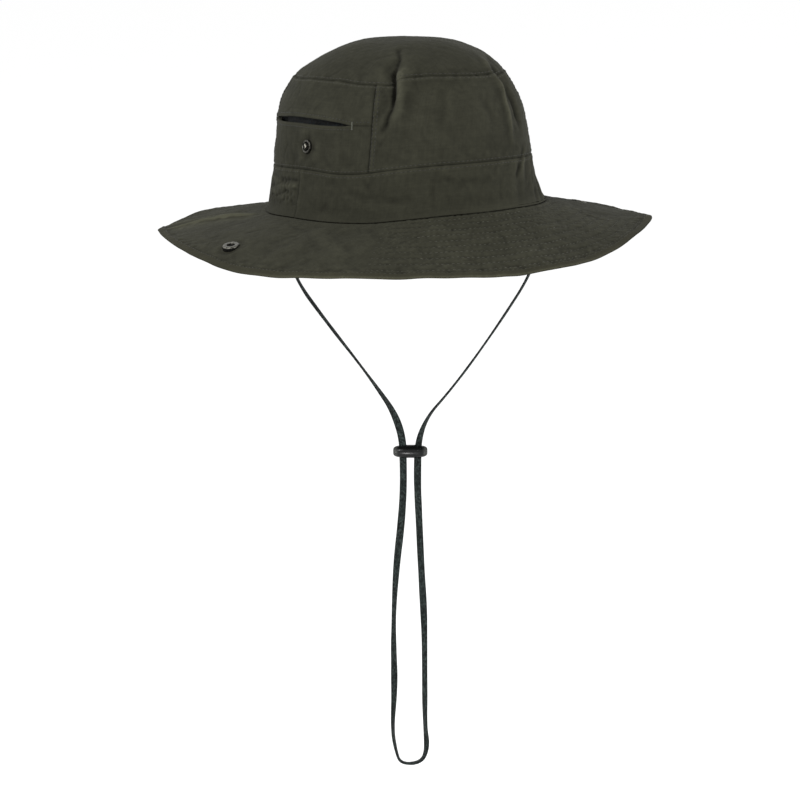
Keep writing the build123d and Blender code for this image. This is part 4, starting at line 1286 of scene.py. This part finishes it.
cords = []
for name, route in STRANDS.items():
    pts = read_route(name, route)
    z = pts[:, 2] * 1000
    if name == "chin_cord_loop":
        low = int(np.argmin(z))
        w = np.where(np.arange(len(z)) <= low, LOOK_DOWN(z), LOOK_UP(z))
    else:
        w = LOOKS[name](z)
    k = np.ones(15) / 15
    w = np.convolve(np.pad(w, 7, mode="edge"), k, mode="valid")
    turn = turn_for(w * 1.21)
    piece = ribbon(name, pts, turn if name != "chin_cord_left" else -turn)
    length = float(np.linalg.norm(np.diff(pts, axis=0), axis=1).sum())
    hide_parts("chin_cord")
    print("cord", name, round(length * 1000, 1), "mm,", len(pts), "points")
    cords.append((piece, pts, length))
(right_cord, right_pts, right_len), (loop_cord, loop_pts, loop_len), (left_cord, left_pts, left_len) = cords
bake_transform(right_cord)
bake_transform(left_cord)
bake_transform(loop_cord)

# --- crown ----------------------------------------------------------------------------
def front_edge(z):
    return POCKET_T(z)


def band_v(t):
    return v_of(BAND_SEAM(t))


def tip_v(t):
    return v_of(TIP_SEAM(t))


def pieces_of(o, material, slot, *nodes):
    wear(o, material)
    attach(o, "hat")
    if nodes:
        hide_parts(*nodes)
    return o


crown_front = crown_panel("crown_front_cloth", lambda z: POCKET_T(z), lambda z: 180 - BACK_T(z), band_v, tip_v)
crown_left = crown_panel("crown_left_cloth", lambda z: 180 - BACK_T(z), lambda z: 180 + BACK_T(z), band_v, tip_v)
crown_back = crown_panel("crown_back_cloth", lambda z: 180 + BACK_T(z), lambda z: 360 - BACK_T(z), band_v, tip_v, step=1.1)
yoke = crown_panel("pocket_yoke_cloth", lambda z: -BACK_T(z), lambda z: POCKET_T(z), lambda t: v_of(LIP_UP(t)), tip_v, skirts=(1.2, 1.2, 2.2, 1.2))
pocket = crown_panel("pocket_front_cloth", lambda z: -BACK_T(z), lambda z: POCKET_T(z), band_v, lambda t: v_of(LIP_LOW(t)), skirts=(1.2, 1.2, 1.2, 2.2))
band_f = crown_panel("band_front_cloth", const(-1.0), const(181.0), const(0.004), band_v, skirts=(1.0, 1.0, 1.2, 1.2))
band_b = crown_panel("band_back_cloth", const(181.0), const(359.0), const(0.004), band_v, step=1.1, skirts=(1.0, 1.0, 1.2, 1.2))
bag = crown_panel("pocket_mesh_bag", const(-39.5), const(34.0), lambda t: v_of(np.full(np.shape(t), 43.5)), lambda t: v_of(np.full(np.shape(t), 79.5)), step=1.6,
                  skirts=(0.6, 0.6, 0.6, 0.6), detail=False, inset=4.4, extra=lambda t, v, P: 0.7 * waves(P, 41, 22.0) + smooth01((-27.0 - t) / 7.0) * (2.3 - 0.45 * waves(P, 41, 22.0)))
for o, node in ((crown_front, "crown_front_panel"), (crown_left, "crown_left_panel"), (crown_back, "crown_back_panel"),
                (yoke, "pocket_yoke"), (pocket, "pocket_front"), (band_f, "band_front"), (band_b, "band_back")):
    pieces_of(o, mat_crown, "crown_cloth", node)
pieces_of(bag, mat_mesh, "mesh", "pocket_mesh")


def top_panel():
    n = 150
    g = np.linspace(-1 - 2.0 / n, 1 + 2.0 / n, n + 3)
    A, B = np.meshgrid(g, g, indexing="ij")
    with np.errstate(divide="ignore", invalid="ignore"):
        big = np.abs(A) > np.abs(B)
        r = np.where(big, A, B)
        phi = np.where(big, math.pi / 4 * np.where(A != 0, B / np.where(A == 0, 1, A), 0), math.pi / 2 - math.pi / 4 * np.where(B != 0, A / np.where(B == 0, 1, B), 0))
    r_abs = np.abs(r)
    ang = np.where(r < 0, phi + math.pi, phi)
    t = np.degrees(ang)
    rim = 3 - tip_v(t) - GAP / 65.0           # share of the top panel's radius at the seam, a little over 1
    v = 3 - rim * np.clip(r_abs, 0, None)
    P = crown_base(t, np.clip(v, 1.9, 3.0))
    N = normals_of(P)
    N = N * np.sign(N[..., 2:3] + 1e-9)
    N[np.isnan(N)] = 0
    bad = np.linalg.norm(N, axis=-1) < 0.5
    N[bad] = (0, 0, 1)
    d = crown_detail(t, np.clip(v, 1.9, 3.0), P)
    P2 = P + N * d[..., None]
    N2 = normals_of(P2)
    N2 = N2 * np.sign(N2[..., 2:3] + 1e-9)
    uv = P2[..., :2]
    c = slice(1, -1)
    # the top panel's tone: painted highlight on crests and painted shade in folds, partly also wear
    return sheet_mesh("crown_tip_cloth", P2[c, c], N2[c, c], uv[c, c], wear_and_shade_at=wear_and_painted_shade(d, 1.0)[c, c])


tip = pieces_of(top_panel(), mat_crown, "crown_cloth", "crown_tip")

def cut_of(o):
    """Reads the UV layout of a piece of cloth; nothing else is done with it."""
    uv = np.zeros(len(o.data.loops) * 2, np.float32)
    o.data.uv_layers[0].data.foreach_get("uv", uv)


# sweatband: a woven tape inside the head opening, with a turned top edge
def sweat():
    n, mm = 360, 26
    t = np.linspace(0, 360, n + 1)[:, None] * np.ones((1, mm))
    z = np.ones((n + 1, 1)) * np.concatenate([np.linspace(-1.6, 27.6, mm - 4), [28.1, 28.2, 27.9, 26.8]])[None]
    inn = np.ones((n + 1, 1)) * np.concatenate([np.full(mm - 4, 1.7), [1.6, 1.2, 0.8, 0.7]])[None]
    base = crown_base(t, np.clip(v_of(z), 0.0, 3))
    base[..., 2] += np.minimum(z, 0)
    N = normals_of(base)
    N = N * np.sign((N * base).sum(-1, keepdims=True))
    d = 0.25 * waves(base, 51, 26.0) + 0.12 * waves(base, 52, 8.0) - 0.25 * bell(z - 25.2, 0.5)
    wall = crown_detail(t, np.clip(v_of(z), 0.0, 3), base)
    P = base - N * (inn - d * 0.6 - np.minimum(wall, 0.4) + 0.25)[..., None]
    N2 = -normals_of(P) * np.sign((normals_of(P) * base).sum(-1, keepdims=True))
    uv = np.stack([np.radians(t) * 92, z], -1)
    return sheet_mesh("sweatband_tape", P, N2, uv, (0, 0, 0, 0))


sweatband = pieces_of(sweat(), mat_sweat, "sweatband_tape", "sweatband")
cut_of(crown_front)
cut_of(crown_left)
cut_of(crown_back)
cut_of(yoke)
cut_of(pocket)
cut_of(tip)
cut_of(band_f)
cut_of(band_b)
cut_of(bag)
cut_of(sweatband)

# --- stitches on the crown ---------------------------------------------------------------
def around_line(zf, t0, t1, up_mm, n=900):
    """A line at a distance above a seam, all the way from t0 to t1."""
    t = np.linspace(t0, t1, n)
    mline = along_up(v_of(zf(t))) + up_mm
    v = np.interp(mline, _m, _v)
    return crown_point(t, level(v), 0.0)


lines = [
    around_line(BAND_SEAM, 0, 360, -2.1), around_line(BAND_SEAM, 0, 360, 1.5),
    around_line(TIP_SEAM, 0, 360, -2.0), around_line(TIP_SEAM, 0, 360, 1.6, 700),
]
fine = []
for centre, edge, way in ((0.0, POCKET_T, 1.0), (0.0, BACK_T, -1.0), (180.0, BACK_T, 1.0), (180.0, BACK_T, -1.0)):
    z = np.linspace(33.0, 83.0, 200)
    per = np.radians(1.0) * 98.0 * share_at(z) * 0.95
    for off in (0.9, 3.1):
        t = centre + way * (edge(z) + off / per)
        fine.append(crown_point(t, z))
tt = np.linspace(-35.5, 36.0, 210)
fine.append(crown_point(tt, LIP_UP(tt) + 2.2))
tt = np.linspace(-35.5, 28.0, 200)
fine.append(crown_point(tt, LIP_LOW(tt) - 2.4))
sew = pieces_of(thread("crown_stitching", lines, pitch=3.0, length=2.1, r=0.22, seed=3), mat_thread, "crown_cloth")
sew2 = pieces_of(thread("pocket_stitching", fine, pitch=2.6, length=1.7, r=0.22, seed=4), mat_thread, "crown_cloth")
# dark pits between the crown's stitches: painted shade
pieces_of(needle_hole_shade("crown_needle_hole_shade", lines, 3.0, 3, r=0.32, length=0.9), mat_hole_shade, "crown_cloth")
pieces_of(needle_hole_shade("pocket_needle_hole_shade", fine, 2.6, 4, r=0.42, length=1.2), mat_hole_shade, "crown_cloth")

# near-black strips under every seam's gap: painted shade
seams = [("band_seam_shadow_strip", *around_line(BAND_SEAM, 0, 360, 0.0), 3.0), ("tip_seam_shadow_strip", *around_line(TIP_SEAM, 0, 360, 0.0, 700), 3.0)]
for k, (centre, edge, way) in enumerate(((0.0, POCKET_T, 1.0), (0.0, BACK_T, -1.0), (180.0, BACK_T, 1.0), (180.0, BACK_T, -1.0))):
    z = np.linspace(30.0, 86.0, 120)
    seams.append((f"panel_seam_tape_{k}", *crown_point(centre + way * edge(z), z), 3.0))
tt = np.linspace(27.4, 36.8, 40)
seams.append(("pocket_seam_shadow_strip", *crown_point(tt, 0.5 * (LIP_UP(tt) + LIP_LOW(tt))), 3.0))
tt = np.linspace(-36.9, -35.4, 12)
seams.append(("pocket_seam_shadow_strip_back", *crown_point(tt, 0.5 * (LIP_UP(tt) + LIP_LOW(tt))), 3.0))
for side_t in (-1.0, 181.0):
    z = np.linspace(0.5, 30.5, 60)
    seams.append((f"band_join_tape_{'right' if side_t < 0 else 'left'}", *crown_point(np.full(60, side_t), z), 3.0))
for name, sp, sn, width in seams:
    pieces_of(strip(name, sp, sn, width, 0.95), mat_seam_shadow, "crown_cloth")
# a near-black band under the crown's lower edge: painted shadow in the gap where crown meets brim
t = np.linspace(0, 360, 721)[:, None] * np.ones((1, 4))
ring_p = crown_base(t, np.full(t.shape, 0.0))
ring_n = ring_p * np.array([1.0, 1.0, 0.0])
ring_n /= np.linalg.norm(ring_n, axis=-1, keepdims=True)
ring_p = ring_p - ring_n * 0.9 + np.array([0, 0, 1.0]) * np.array([-1.6, -0.6, 0.4, 1.2])[None, :, None]
pieces_of(sheet_mesh("brim_seam_shadow_strip", ring_p, ring_n, np.stack([np.radians(t) * 94, ring_p[..., 2]], -1), (0, 0, 0, 0)), mat_seam_shadow, "crown_cloth")
zz = np.linspace(57.3, 61.9, 15)
tack = []
for zt in zz:
    tt = np.linspace(27.3, 27.95, 6)
    tack.append(crown_point(tt, np.full(6, zt), 0.30))
bar = pieces_of(thread("pocket_bar_tack", tack, pitch=0.8, length=0.95, r=0.24, sink=0.0, jitter=0.0, seed=5), mat_tack, "crown_cloth")
tt = []
for zt in zz:
    tt.append(crown_point(-34.9 - np.linspace(0.0, 0.65, 6), np.full(6, zt + 0.8), 0.30))
bar2 = pieces_of(thread("pocket_bar_tack_back", tt, pitch=0.8, length=0.95, r=0.24, sink=0.0, jitter=0.0, seed=6), mat_thread, "crown_cloth")
base_z = np.linspace(0, 360, 700)
sweat_line = []
pt, nn = crown_point(base_z, np.full(700, 25.4), -1.72)
sweat_line.append((pt, -nn))
pieces_of(thread("sweatband_stitching", sweat_line, pitch=3.2, length=2.3, r=0.24, seed=8), mat_thread, "sweatband_tape")


def brim_piece(o, side, material, slot, *nodes):
    wear(o, material)
    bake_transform(o)
    if nodes:
        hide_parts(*nodes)
    return o


SPAN = {"right": (-90.0, 90.0), "left": (90.0, 270.0)}
for side in ("right", "left"):
    t0, t1 = SPAN[side]
    over_ply = brim_piece(brim_ply(f"brim_top_cloth_{side}", t0, t1), side, mat_brim, "brim_cloth", f"{side}_wing_top", "brim_top")
    over_hem = brim_piece(brim_ply(f"brim_hem_{side}_top", t0, t1, hem=True, nt=600, ns=10), side, mat_hem, "brim_cloth")
    under_ply = brim_piece(brim_ply(f"brim_under_cloth_{side}", t0, t1, kind="under", nt=320, ns=62), side, mat_under, "brim_cloth", f"{side}_wing_under", "brim_under")
    under_hem = brim_piece(brim_ply(f"brim_hem_{side}_under", t0, t1, kind="under", hem=True, nt=600, ns=10), side, mat_hem, "brim_cloth")
    middle_ply = brim_piece(brim_ply(f"brim_interlining_{side}", t0, t1, kind="middle", nt=120, ns=20), side, mat_lining, "interlining", f"{side}_wing_interlining", "brim_interlining")
    cut_of(over_ply)
    cut_of(under_ply)
    cut_of(middle_ply)
    rows, rows_shaded = [], []
    lo, hi = max(t0, ROW_LO + 1), min(t1, ROW_HI - 1)
    for k, r in enumerate(ROWS):
        # each row is lighter over the middle of the front and darker towards its ends: painted light and shade on one
        # thread
        lit_span = (57.0 + 2.5 * math.sin(k * 1.7), 100.0 + 3.0 * math.sin(k * 2.1))
        for a0, a1, into in ((lo, lit_span[0], rows_shaded), (lit_span[0], lit_span[1], rows), (lit_span[1], hi, rows_shaded)):
            a0, a1 = max(a0, lo), min(a1, hi)
            if a1 - a0 > 2:
                t = np.linspace(a0, a1, max(int((a1 - a0) * 4), 12))
                into.append(brim_point(t, np.full(len(t), r)))
    reach = lambda t: np.hypot((EDGE_B - 84.2) * np.cos(np.radians(t)), (EDGE_A - 101.2) * np.sin(np.radians(t)))
    t = np.linspace(t0 + 0.1, t1 - 0.1, 800)
    hem = [brim_point(t, 1 - HEM / reach(t))]
    brim_piece(thread(f"brim_rows_{side}", rows, pitch=3.1, length=2.3, r=0.23, seed=11), side, mat_thread_brim, "brim_cloth")
    if rows_shaded:
        brim_piece(thread(f"brim_rows_shaded_{side}", rows_shaded, pitch=3.1, length=2.2, r=0.20, sink=0.18, seed=14), side, mat_thread_shaded, "brim_cloth")
    # dark pits between the hem stitches: painted shade
    brim_piece(needle_hole_shade(f"brim_needle_hole_shade_{side}", hem, 2.9, 12, r=0.26), side, mat_hole_shade, "brim_cloth")
    brim_piece(thread(f"brim_hem_stitching_{side}", hem, pitch=2.9, length=2.1, r=0.22, seed=12), side, mat_thread_shaded, "brim_cloth")
    below = [brim_point(t, 1 - HEM / reach(t), under=True)]
    for r in ROWS:
        tr_ = np.linspace(lo, hi, 260)
        below.append(brim_point(tr_, np.full(260, r), under=True))
    brim_piece(thread(f"brim_under_stitching_{side}", below, pitch=3.1, length=2.3, r=0.23, seed=13), side, mat_thread_brim, "brim_cloth")

# --- snap fasteners ------------------------------------------------------------------------
def snap(side):
    sgn = -1.0 if side == "right" else 1.0
    wall = HEAD_B * (0.9091 + (0.8869 - 0.9091) * 1.4 / 15.0)
    so = np.array([sgn * wall, -5.0, 44.4])
    sx = np.array([sgn * math.cos(math.radians(10)), 0, math.sin(math.radians(10))])
    # stud: a ring of plated metal, a dark well, and the rounded nub with its split. The well, the split and a ring
    # round the base are near-black pieces: painted shade.
    ring_p = rounded([(4.35, -0.55), (4.35, 0.50), (4.05, 0.90), (3.5, 1.0), (3.0, 0.8), (2.8, 0.35)], 0.22)
    V, F = lathe("", ring_p, so, sx, 64)
    nub = rounded([(1.7, -0.3), (1.7, 1.1), (2.05, 1.9), (1.8, 2.4), (1.1, 2.62), (0.0001, 2.66)], 0.25)
    V2, F2 = lathe("", nub, so, sx, 40)
    e1 = np.cross(sx, [0, 1, 0])
    e1 /= np.linalg.norm(e1)
    e2 = np.cross(sx, e1)
    stud = merged(f"stud_{side}", [(V, F)])
    nub_piece = merged(f"stud_nub_{side}", [(V2, F2)])
    # the well, a dark bar across the nub for its split, and a dark ring round the base: painted shade
    well_parts = [lathe("", [(2.84, 0.45), (2.65, 0.1), (1.6, 0.05), (0.0001, 0.05)], so, sx, 40), lathe("", [(4.5, -0.5), (4.5, 0.15), (4.25, 0.3)], so, sx, 48)]
    bend = [so + sx * 2.45 + e1 * (1.75 * q) + e2 * (0.40 * math.sin(q * 2.6)) for q in np.linspace(-1, 1, 16)]
    well_parts.append(tube(bend, 0.58))
    well = merged(f"stud_well_shade_{side}", well_parts)
    post_p = rounded([(0.0001, -2.25), (3.2, -2.25), (4.2, -1.9), (4.2, -1.5), (1.2, -1.45), (1.2, 0.4)], 0.2)
    V, F = lathe("", post_p, so, sx, 48)
    post = merged(f"stud_back_{side}", [(V, F)])
    pieces_of(stud, mat_ring_shaded, "snap_metal", f"crown_stud_{side}")
    pieces_of(nub_piece, mat_nub_lit, "snap_metal")
    pieces_of(post, mat_metal, "snap_metal", f"crown_post_{side}")
    pieces_of(well, mat_snap_shade, "snap_metal")
    # socket: a domed ring with crimps, an S of spring wire across its dark mouth. The mouth and a skirt under the ring
    # are near-black pieces: painted shade in the hole and painted shadow under the ring.
    ko = SOCKET[side] - np.array([0.0, 0.0, 2.2 if side == "left" else 1.1])
    high = 0.5 if side == "left" else 0.72
    tilt = math.radians(17.72 if side == "left" else 10.9)
    kx = np.array([sgn * math.sin(tilt), 0 if side == "left" else -0.13, math.cos(tilt)])
    kx /= np.linalg.norm(kx)

    def crimps(ang, rr, hh):
        k = smooth01((rr - 3.1) / 0.9) * (1 - smooth01((rr - 5.25) / 0.3))
        return rr, hh - 0.13 * k * (0.5 + 0.5 * np.cos(ang * 9 + 0.6)) - 0.05 * k * np.cos(ang * 2 + 1.0)

    body = rounded([(5.35, 0.75), (5.35, 1.55), (5.0, 2.15), (4.35, 2.42), (3.5, 2.4), (2.8, 2.15), (2.6, 1.8)], 0.35, 5)
    V, F = lathe("", [(r, h * high) for r, h in body], ko, kx, 72, wobble=crimps)
    socket = merged(f"socket_{side}", [(V, F)])
    e1 = np.cross(kx, [0, 1, 0])
    e1 /= np.linalg.norm(e1)
    e2 = np.cross(kx, e1)
    # the inside of the mouth and a skirt under the ring, both near-black: painted shade in the hole and painted shadow
    # under the ring
    mouth = rounded([(2.63, 1.9), (2.55, 1.6), (2.48, 1.2), (2.48, 0.35), (0.0001, 0.3)], 0.25)
    parts = [lathe("", [(r, h * high) for r, h in mouth], ko, kx, 40), lathe("", rounded([(5.55, -1.2), (5.55, 0.85 * high), (5.2, 1.1 * high)], 0.1), ko, kx, 72)]
    well = merged(f"socket_well_shade_{side}", parts)
    wires = []
    for k in (-1, 1):
        pts = []
        for q in np.linspace(-1, 1, 24):
            w = 1.3 * k * (1 - 0.25 * q * q) + 0.35 * math.sin(q * 3.1) * k
            pts.append(ko + e2 * (q * 2.4) + e1 * w + kx * (1.15 - 0.25 * abs(q)) * high)
        wires.append(tube(pts, 0.17))
    spring = merged(f"socket_spring_{side}", wires)
    cap_p = rounded([(0.0001, -3.75), (2.4, -3.62), (4.8, -3.1), (5.8, -2.55), (5.8, -2.3), (1.2, -2.25), (1.2, 0.4)], 0.3)
    V, F = lathe("", cap_p, ko, kx, 60)
    cap = merged(f"socket_cap_{side}", [(V, F)])
    for o, node, material in ((socket, f"brim_socket_{side}", mat_metal), (cap, f"brim_cap_{side}", mat_metal), (well, None, mat_snap_shade), (spring, None, mat_metal)):
        wear(o, material)
        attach(o, f"{side}_wing")
        if node:
            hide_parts(node)


snap("right")
snap("left")

# --- floor -------------------------------------------------------------------------------------
fm = Graph("floor")
fm.bsdf.inputs["Base Color"].default_value = (0.96, 0.96, 0.96, 1)
fm.bsdf.inputs["Roughness"].default_value = 0.9
fm.bsdf.inputs["Specular IOR Level"].default_value = 0.0
mesh = bpy.data.meshes.new("floor")
mesh.from_pydata([(-30, -30, -0.46), (30, -30, -0.46), (30, 30, -0.46), (-30, 30, -0.46)], [], [(0, 1, 2, 3)])
floor = bpy.data.objects.new("floor", mesh)
scene.collection.objects.link(floor)
wear(floor, fm.m)
